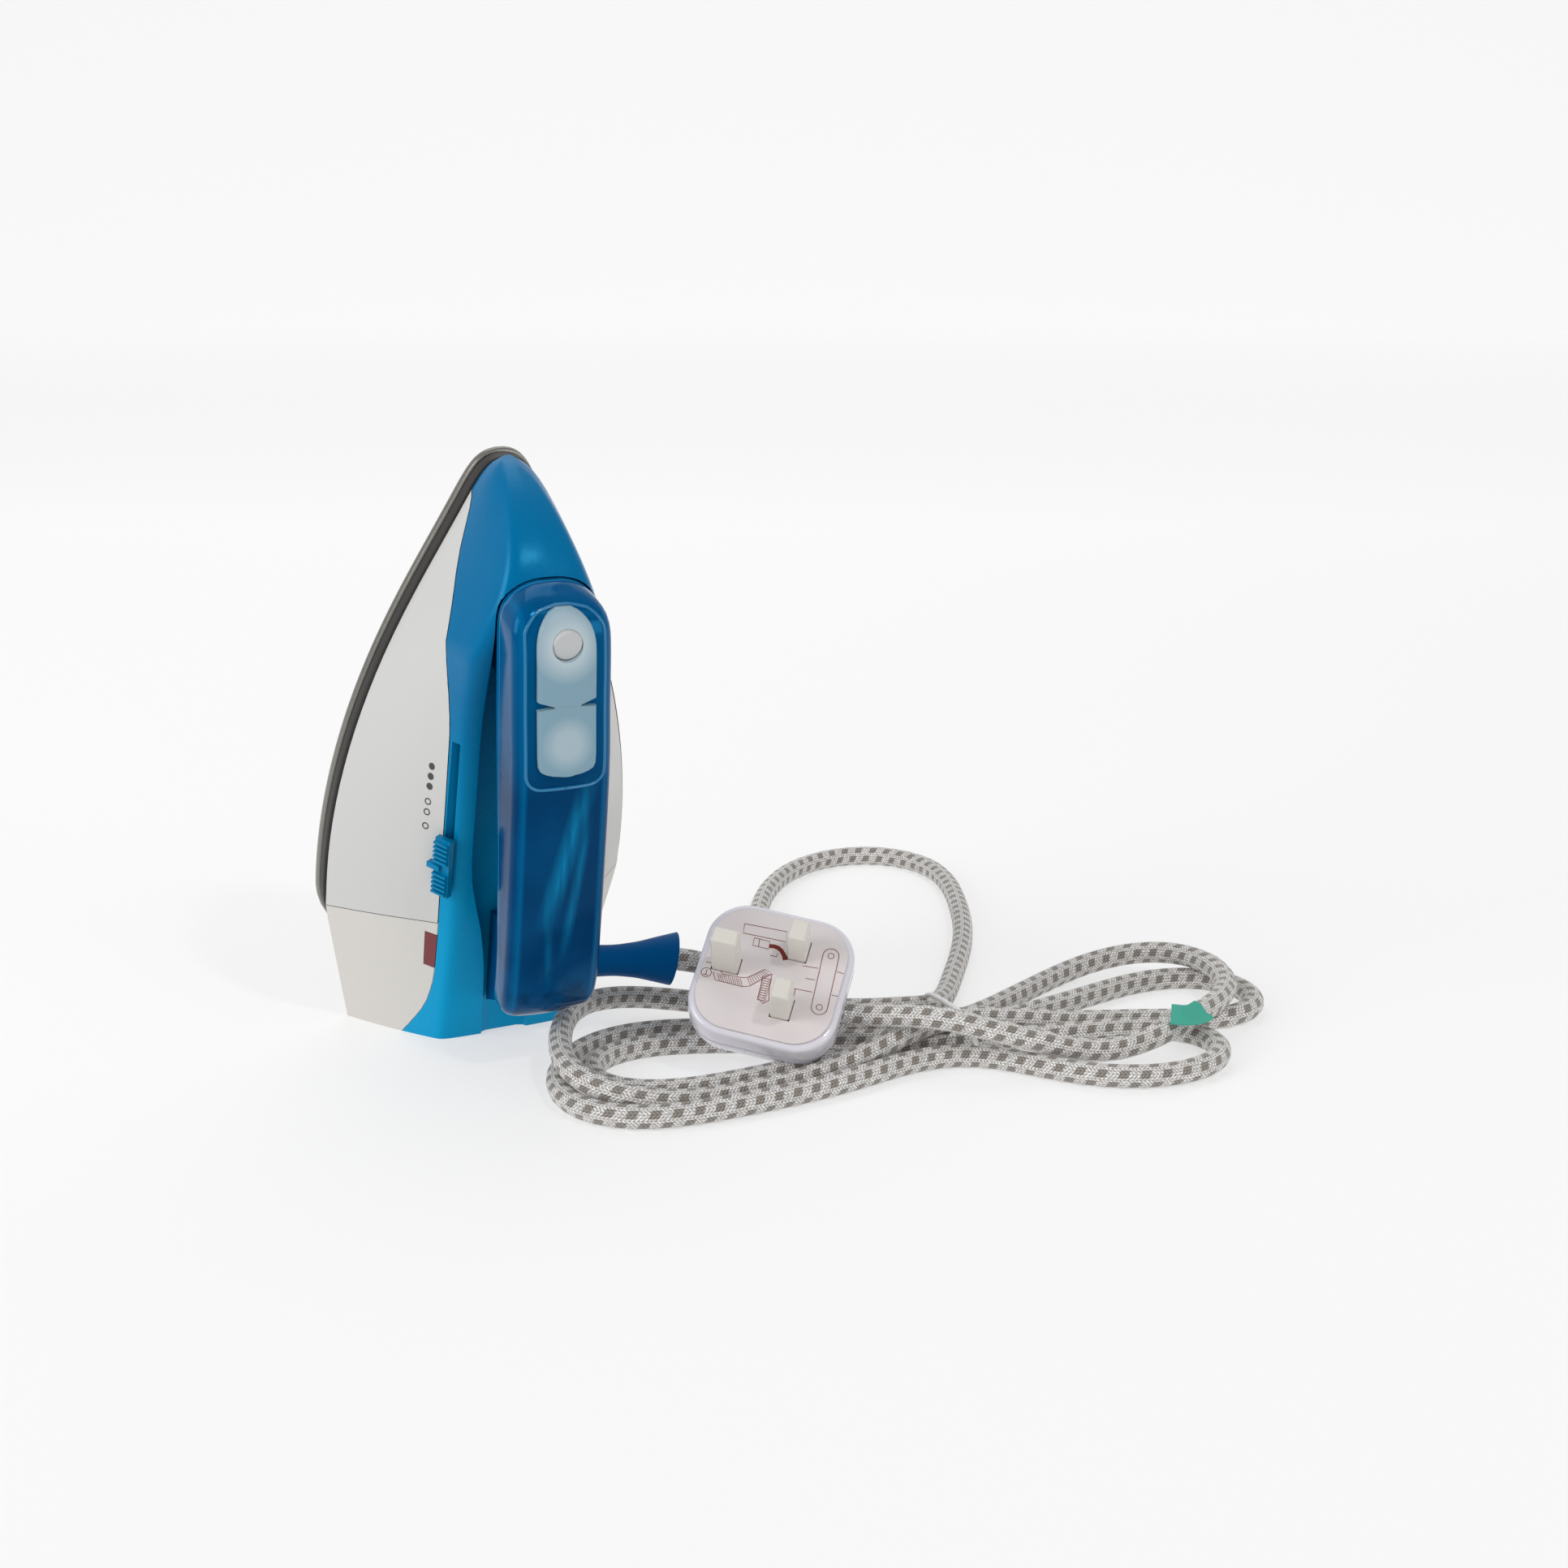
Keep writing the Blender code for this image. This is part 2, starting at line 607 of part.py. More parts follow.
def panel(mats):
    front = [(FLAP_HINGE_X + 1.1, 5.2), (162.9, 5.3), (163.4, 9.3), (172, PANEL_HALF), (180, PANEL_HALF),
             (185, 9.0), (188, 7.4), (190, 4.6), (190.6, 2.6)]
    cover = new_object("button_cover", rings_bmesh(panel_rings(front, GAP)), mats["frost"], smooth=0.5)
    hole = rod((BUTTON_X, 0, 60), (BUTTON_X, 0, 80), 5.3, 28)
    boolean(cover, new_object("button_hole", hole, None, True))
    rear = [(138.6, 4.5), (139.2, 7.4), (141, 9.3), (145, PANEL_HALF), (156, PANEL_HALF), (158.6, 9.3),
            (159.1, 5.3), (FLAP_HINGE_X - 0.7, 5.2)]
    flap = new_object("fill_flap", rings_bmesh(panel_rings(rear, GAP)), mats["frost"], smooth=0.5)
    plug = []
    for x in (144.0, 149, 154.4):
        z = spline(HANDLE_TOP, x)
        plug.append([(x, 5.2, z - 2.4), (x, 5.4, z + 0.1), (x, -5.4, z + 0.1), (x, -5.2, z - 2.4)])
    seal = new_object("fill_seal", rings_bmesh(plug), mats["silicone"])
    pivot = (FLAP_HINGE_X, 0, spline(HANDLE_TOP, FLAP_HINGE_X) + GAP + 1.2)
    for obj in (flap, seal):
        set_pivot(obj, pivot)


def set_pivot(obj, pivot):
    """Moves an object's origin onto its joint's axis, leaving its shape where it is."""
    offset = Vector(pivot) * MM
    obj.data.transform(Matrix.Translation(-offset))
    obj.location = offset


def gear_outline(teeth, pitch_r, phase):
    """A gear's outline with straight-sided teeth and generous backlash."""
    points = []
    for i in range(teeth):
        for part, r in ((-0.29, -1.1), (-0.13, 0.7), (0.13, 0.7), (0.29, -1.1)):
            a = 2 * math.pi * (i + part) / teeth + phase
            points.append((pitch_r + r, a))
    return points


def slider_and_pinion(mats):
    """The slider with its rack is one moulding; it turns the thermostat's pinion."""
    y, z = 26.5, 44.6
    cap = flank_box(SLIDER_X - 11, SLIDER_X + 11, y, z, 6.4, 2.6, 2.2)
    knob = new_object("temperature_slider", cap, mats["blue"])
    for i in range(10):
        x = SLIDER_X - 9.6 + i * 1.75 + (3.4 if i > 4 else 0)
        rib = flank_box(x - 0.45, x + 0.45, y, z, 5.6, 1.6, 3.9)
        boolean(knob, new_object("slider_rib_%d" % i, rib, None, True), "UNION")
    pointer = flank_box(SLIDER_X - 1.0, SLIDER_X + 1.0, y + 1.4, z - 2.2, 4.6, 2.6, 3.0)
    boolean(knob, new_object("slider_pointer", pointer, None, True), "UNION")
    length = (SLIDER_X - 9, SLIDER_X + 9)
    for piece, y_range, z_range in (
        ("neck", (20.6, 27.6), (43.1, 44.7)),
        ("arm", (20.6, 22.2), (30.6, 44.7)),
        ("foot", (20.6, 26.2), (30.6, 32.2)),
    ):
        added = new_object("slider_" + piece, box(length, y_range, z_range), None, True)
        boolean(knob, added, "UNION")
    pitch = 2 * math.pi * PITCH_R / PINION_TEETH
    tip_y = PINION[1] + PITCH_R - 0.65
    root_y = PINION[1] + PITCH_R + 1.15
    teeth = []
    count = 15
    start = PINION[0] - (count // 2) * pitch - 0.5 * SLIDER_TRAVEL
    for i in range(count):
        x = start + i * pitch
        foot, crest = 0.29 * pitch, 0.13 * pitch
        teeth += [(x - foot, root_y), (x - crest, tip_y), (x + crest, tip_y), (x + foot, root_y)]
    outline = teeth + [(teeth[-1][0], root_y + 1.6), (teeth[0][0], root_y + 1.6)]
    boolean(knob, new_object("slider_rack", prism(outline, RACK_Z[0], 31.0), None, True), "UNION")
    half_tooth = math.pi / PINION_TEETH
    nearest = (start - PINION[0]) % pitch
    phase = math.pi / 2 - nearest / PITCH_R + half_tooth
    points = []
    for r, a in gear_outline(PINION_TEETH, PITCH_R, phase):
        points.append((PINION[0] + r * math.cos(a), PINION[1] + r * math.sin(a)))
    pinion = new_object("thermostat_pinion", prism(points, RACK_Z[0] + 0.2, RACK_Z[1] - 0.2), mats["nylon"])
    stem = rod((*PINION, 15.0), (*PINION, RACK_Z[0] + 1), 2.0, 16)
    boolean(pinion, new_object("pinion_stem", stem, None, True), "UNION")
    set_pivot(pinion, (*PINION, 20))


def thermostat(mats):
    x, y = PINION
    body = new_object("thermostat_body", box((x - 11, x + 9), (10.7, 20.1), (12.3, 19.0)), mats["ceramic"])
    boolean(body, new_object("stem_bore", rod((x, y, 14.5), (x, y, 25), 2.4, 16), None, True))
    new_object("bimetal_strip", box((72, 93.6), (12.2, 18.4), (12.4, 13.2)), mats["copper"])
    new_object("contact_blade", box((76, 93.6), (13.4, 17.2), (15.2, 15.8)), mats["brass"])
    new_object("contact_stud", rod((80, 15.3, 13.5), (80, 15.3, 14.9), 1.6, 14), mats["steel"], smooth=0.6)
    new_object("thermal_fuse", rod((60, 14, 15), (70.5, 14, 15), 2.2, 16), mats["steel"], smooth=0.6)
    new_object("pilot_lamp", rod((44.5, 21.5, 35.5), (55.5, 21.5, 35.5), 2.4, 16), mats["lamp"], smooth=0.6)


def wiring(mats):
    block = new_object("terminal_block", box((16, 30), (-13, 13), (11.0, 19)), mats["nylon"])
    for i, y in enumerate((-8, 0, 8)):
        hole = rod((23, y, 14), (23, y, 24), 1.9, 14)
        boolean(block, new_object("terminal_hole_%d" % i, hole, None, True))
        bm = turned((23, y, 14.4), (23, y, 30), ((0, 1.5), (5.0, 1.5), (5.0, 1.7), (6.2, 1.7)), 14)
        new_object("terminal_screw_%s" % "abc"[i], bm, mats["brass"], smooth=0.6)
    y = sole_half(50) - 26
    z = BLOCK_TOP + 0.4
    routes = {
        "live_lead": [(30.4, 8, 15), (36, 10, 15.5), (42, 20, 15), (45, y, 15.8), (47, y, 14.2 + 1.6)],
        "neutral_lead": [(30.4, -8, 15), (36, -10, 15.5), (42, -20, 15), (45, -y, 15.8), (47, -y, 15.8)],
        "earth_lead": [(30.4, 0, 15), (38, 0, 15.5), (48, -1, 15), (54, -2, 14.2), (60, -2, 13.6)],
    }
    for name, route in routes.items():
        colour = {"live_lead": "brown", "neutral_lead": "mains_blue", "earth_lead": "earth"}[name]
        tube_object(name, smooth_route(route, 3.0), 1.0, mats[colour], sides=1)


def smooth_route(route, step):
    """A Catmull-Rom curve through route points, read about every step."""
    pts = [np.array(p, float) for p in route]
    pts = [2 * pts[0] - pts[1]] + pts + [2 * pts[-1] - pts[-2]]
    out = []
    for a, b, c, d in zip(pts, pts[1:], pts[2:], pts[3:]):
        n = max(2, int(round(np.linalg.norm(c - b) / step)))
        for i in range(n):
            t = i / n
            out.append(tuple(0.5 * (2 * b + (c - a) * t + (2 * a - 5 * b + 4 * c - d) * t * t
                                    + (3 * b - a - 3 * c + d) * t**3)))
    out.append(tuple(pts[-2]))
    return out


def cord_guard(mats):
    """A flexible sleeve: a collar, a waist and a trumpet mouth."""
    root, tip = Vector(GUARD_ROOT), Vector(GUARD_TIP)
    length = (tip - root).length
    profile = ((0, 6.6), (1.6, 6.6), (1.6, 6.0), (0.25 * length, 5.9), (0.5 * length, 5.4),
               (0.68 * length, 6.0), (0.86 * length, 7.6), (length, 9.0))
    bm = turned(root, tip, profile, 24)
    guard = new_object("cord_guard", bm, mats["guard"], smooth=0.6, seat=None)
    direction = (tip - root).normalized()
    mouth = rod(tip - direction * 9, tip + direction * 3, 4.05, 20, 8.4)
    cut = new_object("guard_mouth", mouth, None, True, seat=None)
    boolean(guard, cut)
    socket = new_object("guard_socket", rod(root - direction * GAP, tip, 6.9, 24), None, True, seat=None)
    boolean(bpy.data.objects["handle_grip"], socket)


CORD_ROUTE = (
    (51.6, 43.0, 29.4), (53.7, 51.0, 29.0), (55.5, 64, 25), (51, 80, 14), (36, 94, 5.4), (8, 108, 4.1),
    (-28, 124, 4.1), (-62, 144, 4.1), (-85, 165, 4.1), (-98, 189, 4.1), (-96, 212, 4.1), (-76, 226, 4.1),
    (-48, 223, 4.1), (-18, 211, 4.1), (14, 194, 4.1), (44, 173, 4.1), (70, 151, 4.1), (92, 133, 4.1),
)
HANK_WAIST = (108.0, 131.0)
HANK_LOBES = (((78.0, 36.0), 53.0, 0.68), ((121.0, 213.0), 52.0, 0.88))
HANK_WAIST_HALF = 18.5
HANK_Z = (0.3, 15.5)
TIE_HALF_WIDTH = 1.6

# Plug: centre of its pin face, how the face is turned, and its sizes
PLUG_AT = (96.0, 68.3, 33.4)
PLUG_HEADING = math.radians(-27)
PLUG_TILT = math.radians(47)
PLUG_ROLL = math.radians(15)
PLUG_HALF = (25.5, 25.0)
PLUG_CORNER = 14.0
PLUG_SPLIT_Z = -8.0
PLUG_CORD_Z = -13.0
PLUG_DOME = ((-0.3, 1.0), (-5.0, 0.97), (-9.5, 0.82), (-12.0, 0.6))
PINS = (("earth_pin", (-15.7, 0.0), (9.0, 5.6), 21.5), ("live_pin", (6.5, 11.1), (6.4, 7.6), 16.5),
        ("neutral_pin", (6.5, -11.1), (6.4, 7.6), 16.5))


def hank_outline(grow=0.0):
    """The tied hank seen from above: two round lobes that meet in a waist."""
    waist = Vector(HANK_WAIST)
    outline = []
    for end, wide, middle in HANK_LOBES:
        end = Vector(end)
        axis = (end - waist).normalized()
        side = Vector((-axis.y, axis.x))
        wide += grow
        outline.append(waist - side * (HANK_WAIST_HALF + grow))
        outline.append(waist.lerp(end, 0.5) - side * middle * wide)
        for i in range(11):
            a = math.pi * (i / 10 - 0.5)
            outline.append(end + axis * 0.85 * wide * math.cos(a) + side * wide * math.sin(a))
        outline.append(waist.lerp(end, 0.5) + side * middle * wide)
    return [(p.x, p.y) for p in outline]


def plug_outline(scale=1.0, grow=0.0):
    """The plug's rounded square, on its pin face."""
    points = []
    for quarter, (sx, sy) in enumerate(((1, 1), (-1, 1), (-1, -1), (1, -1))):
        for i in range(6):
            a = math.pi / 2 * (quarter + i / 5)
            x = sx * (PLUG_HALF[0] - PLUG_CORNER) + (PLUG_CORNER + grow) * math.cos(a)
            y = sy * (PLUG_HALF[1] - PLUG_CORNER) + (PLUG_CORNER + grow) * math.sin(a)
            points.append((scale * x, scale * y))
    return points


def plug_envelope(grow):
    """The plug without its pins, grown all round."""
    layers = [(1.0 + grow, 1.0), (PLUG_SPLIT_Z, 1.0)]
    layers += [(PLUG_SPLIT_Z + z, k) for z, k in PLUG_DOME[1:-1]]
    layers.append((PLUG_SPLIT_Z + PLUG_DOME[-1][0] - grow, PLUG_DOME[-1][1]))
    return rings_bmesh([[(x, y, z) for x, y in plug_outline(k, grow)] for z, k in layers])


def pin_box(at, size, z0, z1, grow=0.0):
    x, y = at
    dx, dy = size[0] / 2 + grow, size[1] / 2 + grow
    return box((x - dx, x + dx), (y - dy, y + dy), (z0, z1))


def plug(mats):
    rings = [(PLUG_SPLIT_Z, 1.0), (-1.6, 1.0), (-0.5, 0.985), (0, 0.96)]
    front = rings_bmesh([[(x, y, z) for x, y in plug_outline(k)] for z, k in rings])
    base = new_object("plug_base", front, mats["clear"], smooth=0.6, seat="plug")
    card = new_object("plug_card", prism(plug_outline(0.86), GAP, 0.8), mats["card"], seat="plug")
    for name, at, size, length in PINS:
        new_object(name, pin_box(at, size, -7.0, length), mats["pin"], seat="plug")
        hole = new_object(name + "_hole", pin_box(at, size, -12, 5, GAP), None, True, seat="plug")
        boolean(base, hole)
        boolean(card, hole)
    dome = [[(x, y, PLUG_SPLIT_Z + z) for x, y in plug_outline(k)] for z, k in PLUG_DOME]
    cover = new_object("plug_cover", rings_bmesh(dome), mats["clear"], smooth=0.6, seat="plug")
    inside = box((-15, 14), (-15, 15), (PLUG_SPLIT_Z - 8.5, PLUG_SPLIT_Z + 2))
    boolean(cover, new_object("plug_cavity", inside, None, True, seat="plug"))
    exit_hole = rod((5, 0, PLUG_CORD_Z), (40, 0, PLUG_CORD_Z), CORD_R + GAP, 20)
    boolean(cover, new_object("plug_exit", exit_hole, None, True, seat="plug"))
    caps_and_barrel = ((0, 3.1), (6, 3.1), (6, 2.8), (19, 2.8), (19, 3.1), (25, 3.1))
    fuse = turned((-13, 10.5, -12.4), (20, 10.5, -12.4), caps_and_barrel)
    new_object("plug_fuse", fuse, mats["ceramic"], smooth=0.6, seat="plug")


def hank(mats):
    body = new_object("cord_hank", prism(hank_outline(), *HANK_Z), mats["braid"], seat=None)
    boolean(body, new_object("plug_seat_cut", plug_envelope(0.4), None, True, seat="plug"))
    across = HANK_WAIST_HALF + 0.5
    low, high = HANK_Z
    y = (HANK_WAIST[1] - TIE_HALF_WIDTH, HANK_WAIST[1] + TIE_HALF_WIDTH)
    x = (HANK_WAIST[0] - across, HANK_WAIST[0] + across)
    wide = (y[0] - GAP, y[1] + GAP)
    rooms = (("tie_groove", (x[0] - 20, x[1] + 20), (low - 1, low + 1.7)),
             ("tie_notch_a", (x[0] - 20, x[0] + 1.7), (low - 2, high + 1)),
             ("tie_notch_b", (x[1] - 1.7, x[1] + 20), (low - 2, high + 1)))
    for name, across_room, up_room in rooms:
        boolean(body, new_object(name, box(across_room, wide, up_room), None, True, seat=None))
    tie = new_object("cord_tie", box(x, y, (low, high + 1.5)), mats["tie"], seat=None)
    inner = box((x[0] + 1.4, x[1] - 1.4), (y[0] - 2, y[1] + 2), (low + 1.4, high + GAP))
    boolean(tie, new_object("tie_inside", inner, None, True, seat=None))
    a, b, c = Vector((145, 191)), Vector((153, 201)), Vector((147, 212))
    across = Vector((3.2, 0))
    strip = [tuple(p - across) for p in (a, b, c)] + [tuple(p + across) for p in (c, b, a)]
    new_object("cord_tag", prism(strip, high + GAP, high + 1.6), mats["tag"], seat=None)


def flex(mats):
    lead = tube_object("cord_lead", smooth_route(CORD_ROUTE, 10.0), CORD_R, mats["braid"], seat=None)
    axes = SEATS["plug"].matrix_world.to_3x3()
    start = Vector(PLUG_AT) + axes @ Vector((17.0, 0, PLUG_CORD_Z))
    exit_point = Vector(PLUG_AT) + axes @ Vector((30.0, 0, PLUG_CORD_Z))
    route = [tuple(start), tuple(exit_point)]
    route += [(120, 111, 19.8), (128, 119, 19.7), (134, 128, 17), (138, 137, 13.5), (141, 146, 11), (144, 156, 8)]
    end = tube_object("cord_plug_end", smooth_route(route, 9.0), CORD_R, mats["braid"], seat=None)
    near = new_object("hank_near", prism(hank_outline(GAP), -2, HANK_Z[1] + GAP), None, True, seat=None)
    for tube in (lead, end):
        boolean(tube, near)


def build():
    mats = {
        "sole_metal": material("sole_metal", (0.62, 0.61, 0.57), 0.3, 1.0),
        "steel": material("steel", (0.55, 0.56, 0.57), 0.35, 1.0),
        "brass": material("brass", (0.72, 0.55, 0.25), 0.35, 1.0),
        "copper": material("copper", (0.72, 0.42, 0.28), 0.35, 1.0),
        "charcoal": material("charcoal", (0.03, 0.029, 0.027), 0.5),
        "white": material("white", (0.62, 0.61, 0.6), 0.45),
        "blue": material("blue", (0.0, 0.22, 0.45), 0.35),
        "navy": material("navy", (0.0, 0.07, 0.2), 0.4),
        "tank": material("tank", (0.0, 0.1, 0.28), 0.15, 0.0, 0.6),
        "frost": material("frost", (0.35, 0.45, 0.52), 0.45),
        "button": material("button", (0.62, 0.62, 0.62), 0.5),
        "red": material("red", (0.25, 0.02, 0.02), 0.2),
        "lamp": material("lamp", (0.8, 0.35, 0.15), 0.2),
        "nylon": material("nylon", (0.7, 0.7, 0.66), 0.5),
        "silicone": material("silicone", (0.75, 0.75, 0.73), 0.6),
        "ceramic": material("ceramic", (0.75, 0.72, 0.66), 0.6),
        "brown": material("brown", (0.15, 0.06, 0.02), 0.5),
        "mains_blue": material("mains_blue", (0.03, 0.12, 0.4), 0.5),
        "earth": material("earth", (0.15, 0.35, 0.05), 0.5),
        "guard": material("guard", (0.0, 0.07, 0.22), 0.6),
        "braid": material("braid", (0.68, 0.66, 0.65), 0.8),
        "clear": material("clear", (0.7, 0.68, 0.69), 0.25, 0.0, 0.85),
        "card": material("card", (0.75, 0.7, 0.7), 0.6),
        "pin": material("pin", (0.75, 0.72, 0.68), 0.4),
        "tie": material("tie", (0.8, 0.8, 0.8), 0.3),
        "tag": material("tag", (0.06, 0.35, 0.28), 0.5),
    }
    soleplate(mats)
    heating(mats)
    steam_chamber(mats)
    heat_shield(mats)
    covers(mats)
    tank(mats)
    handle_grip(mats)
    pump(mats)
    panel(mats)
    slider_and_pinion(mats)
    thermostat(mats)
    wiring(mats)
    cord_guard(mats)
    plug(mats)
    hank(mats)
    flex(mats)


clear()
PARTS = bpy.data.collections.new("steam_iron")
CUTTERS = bpy.data.collections.new("cutters")
CUTTERS.hide_render = True
for group in (PARTS, CUTTERS):
    bpy.context.scene.collection.children.link(group)
for seat, group_name in (("iron", "iron_stance"), ("plug", "plug_stance")):
    SEATS[seat] = bpy.data.objects.new(group_name, None)
    PARTS.objects.link(SEATS[seat])
sine, cosine = math.sin(LEAN), math.cos(LEAN)
SEATS["iron"].matrix_world = Matrix((
    (sine, 0, cosine, -FOOT_Z * MM / cosine),
    (0, -1, 0, 0),
    (cosine, 0, -sine, 0),
    (0, 0, 0, 1),
))
facing = Vector((math.cos(PLUG_HEADING), math.sin(PLUG_HEADING), 0)) * math.cos(PLUG_TILT)
facing.z = math.sin(PLUG_TILT)
level = Vector((-math.sin(PLUG_HEADING), math.cos(PLUG_HEADING), 0))
rise = facing.cross(level)
along = level * math.cos(PLUG_ROLL) - rise * math.sin(PLUG_ROLL)
turned_axes = Matrix((along, facing.cross(along), facing)).transposed().to_4x4()
SEATS["plug"].matrix_world = Matrix.Translation(Vector(PLUG_AT) * MM) @ turned_axes
bpy.context.view_layer.update()
build()
bpy.context.view_layer.update()
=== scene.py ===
import math

import bmesh
import bpy
import numpy as np
from mathutils import Matrix, Vector


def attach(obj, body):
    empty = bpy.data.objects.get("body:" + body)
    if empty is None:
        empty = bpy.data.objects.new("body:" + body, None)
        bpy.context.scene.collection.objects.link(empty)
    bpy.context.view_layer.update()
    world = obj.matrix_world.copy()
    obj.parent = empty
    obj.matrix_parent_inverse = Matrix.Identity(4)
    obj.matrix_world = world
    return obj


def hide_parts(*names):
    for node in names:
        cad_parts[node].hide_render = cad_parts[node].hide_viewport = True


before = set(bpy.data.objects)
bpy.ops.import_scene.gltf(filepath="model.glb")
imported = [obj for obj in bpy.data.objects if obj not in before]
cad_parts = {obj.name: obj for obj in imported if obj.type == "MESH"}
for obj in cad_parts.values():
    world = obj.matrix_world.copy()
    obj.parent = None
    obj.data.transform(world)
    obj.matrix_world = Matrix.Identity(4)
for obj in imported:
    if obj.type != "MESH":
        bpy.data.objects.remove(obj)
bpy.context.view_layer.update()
MM = 0.001
LEAN = math.radians(17)
SINE, COSINE = math.sin(LEAN), math.cos(LEAN)
FOOT_Z = 27.0
VIEW_TURN, VIEW_TILT = math.radians(63), math.radians(75)
SENSOR_MM, FOCAL_SHARE = 36, 2717 / 1932


def srgb(r, g, b):
    """A colour given in 0 to 255 display values, as linear light."""
    out = []
    for value in (r, g, b):
        v = value / 255
        out.append(v / 12.92 if v <= 0.04045 else ((v + 0.055) / 1.055) ** 2.4)
    return (*out, 1.0)


def placed(name, bm):
    """The finished mesh as an object in the scene."""
    mesh = bpy.data.meshes.new(name)
    bm.to_mesh(mesh)
    bm.free()
    obj = bpy.data.objects.new(name, mesh)
    bpy.context.scene.collection.objects.link(obj)
    return obj


def painted(obj, look):
    obj.data.materials.clear()
    obj.data.materials.append(look.material)
    return obj


def circle(count):
    """Angles evenly round one turn."""
    return np.linspace(0, 2 * math.pi, count + 1)[:-1]


# ---- camera, light, floor
def view():
    data = bpy.data.cameras.new("camera")
    data.lens = FOCAL_SHARE * SENSOR_MM
    data.sensor_width = SENSOR_MM
    data.clip_start = 0.01
    camera = bpy.data.objects.new("camera", data)
    camera.location = (0.718, -0.244, 0.2864)
    camera.rotation_euler = (VIEW_TILT, 0, VIEW_TURN)
    bpy.context.scene.collection.objects.link(camera)
    bpy.context.scene.camera = camera


def lights():
    """A dim white world, four soft boxes, and a small one for the glint on the nose."""
    world = bpy.data.worlds.new("studio")
    world.use_nodes = True
    back = world.node_tree.nodes["Background"]
    back.inputs["Color"].default_value = (1, 1, 1, 1)
    back.inputs["Strength"].default_value = 0.45
    bpy.context.scene.world = world
    bpy.context.scene.view_settings.view_transform = "Standard"

    for name, place, size, power in (
        ("key", (0.15, -1.5, 0.8), 0.9, 14),
        ("front", (1.4, 0.7, 1.0), 0.5, 1.0),
        ("top", (-0.5, 0.2, 1.5), 0.8, 3),
        ("sheen", (1.25, 0.62, 0.22), 0.35, 2.2),
        ("saddle", (0.93, 0.19, 1.02), 0.09, 2.6),
    ):
        lamp = bpy.data.lights.new(name, "AREA")
        lamp.energy = power
        lamp.size = size
        obj = bpy.data.objects.new(name, lamp)
        obj.location = place
        obj.rotation_euler = (Vector((0, 0.05, 0.08)) - Vector(place)).to_track_quat("-Z", "Y").to_euler()
        bpy.context.scene.collection.objects.link(obj)


def studio():
    """The floor, evenly bright out to the backdrop that it meets, and the backdrop."""
    for name, tilt, place in (("floor", 0, (0, 0, 0)), ("backdrop", math.radians(90), (-3.6, 1.9, 0))):
        bm = bmesh.new()
        bmesh.ops.create_grid(bm, x_segments=1, y_segments=1, size=6)
        turn = Matrix.Rotation(VIEW_TURN, 4, "Z") @ Matrix.Rotation(tilt, 4, "X")
        bmesh.ops.transform(bm, matrix=Matrix.Translation(place) @ turn, verts=bm.verts)
        plane = placed(name, bm)
        paint = Nodes(name + "_paint", (0.42, 0.42, 0.42, 1), 0.9, spec=0.0)
        paint.set("Emission Color", (1, 1, 1, 1))
        paint.set("Emission Strength", 0.637)
        if name == "floor":
            toward_backdrop = paint.along((-0.891, 0.454, 0))
            paint.set("Emission Strength", paint.ramp(toward_backdrop, -350.0, 1200.0, 0.515, 0.655))
        painted(plane, paint)


# ---- materials
BUTTON_X, FILL_X = 180, 149
CHECK_PITCH = 6.8


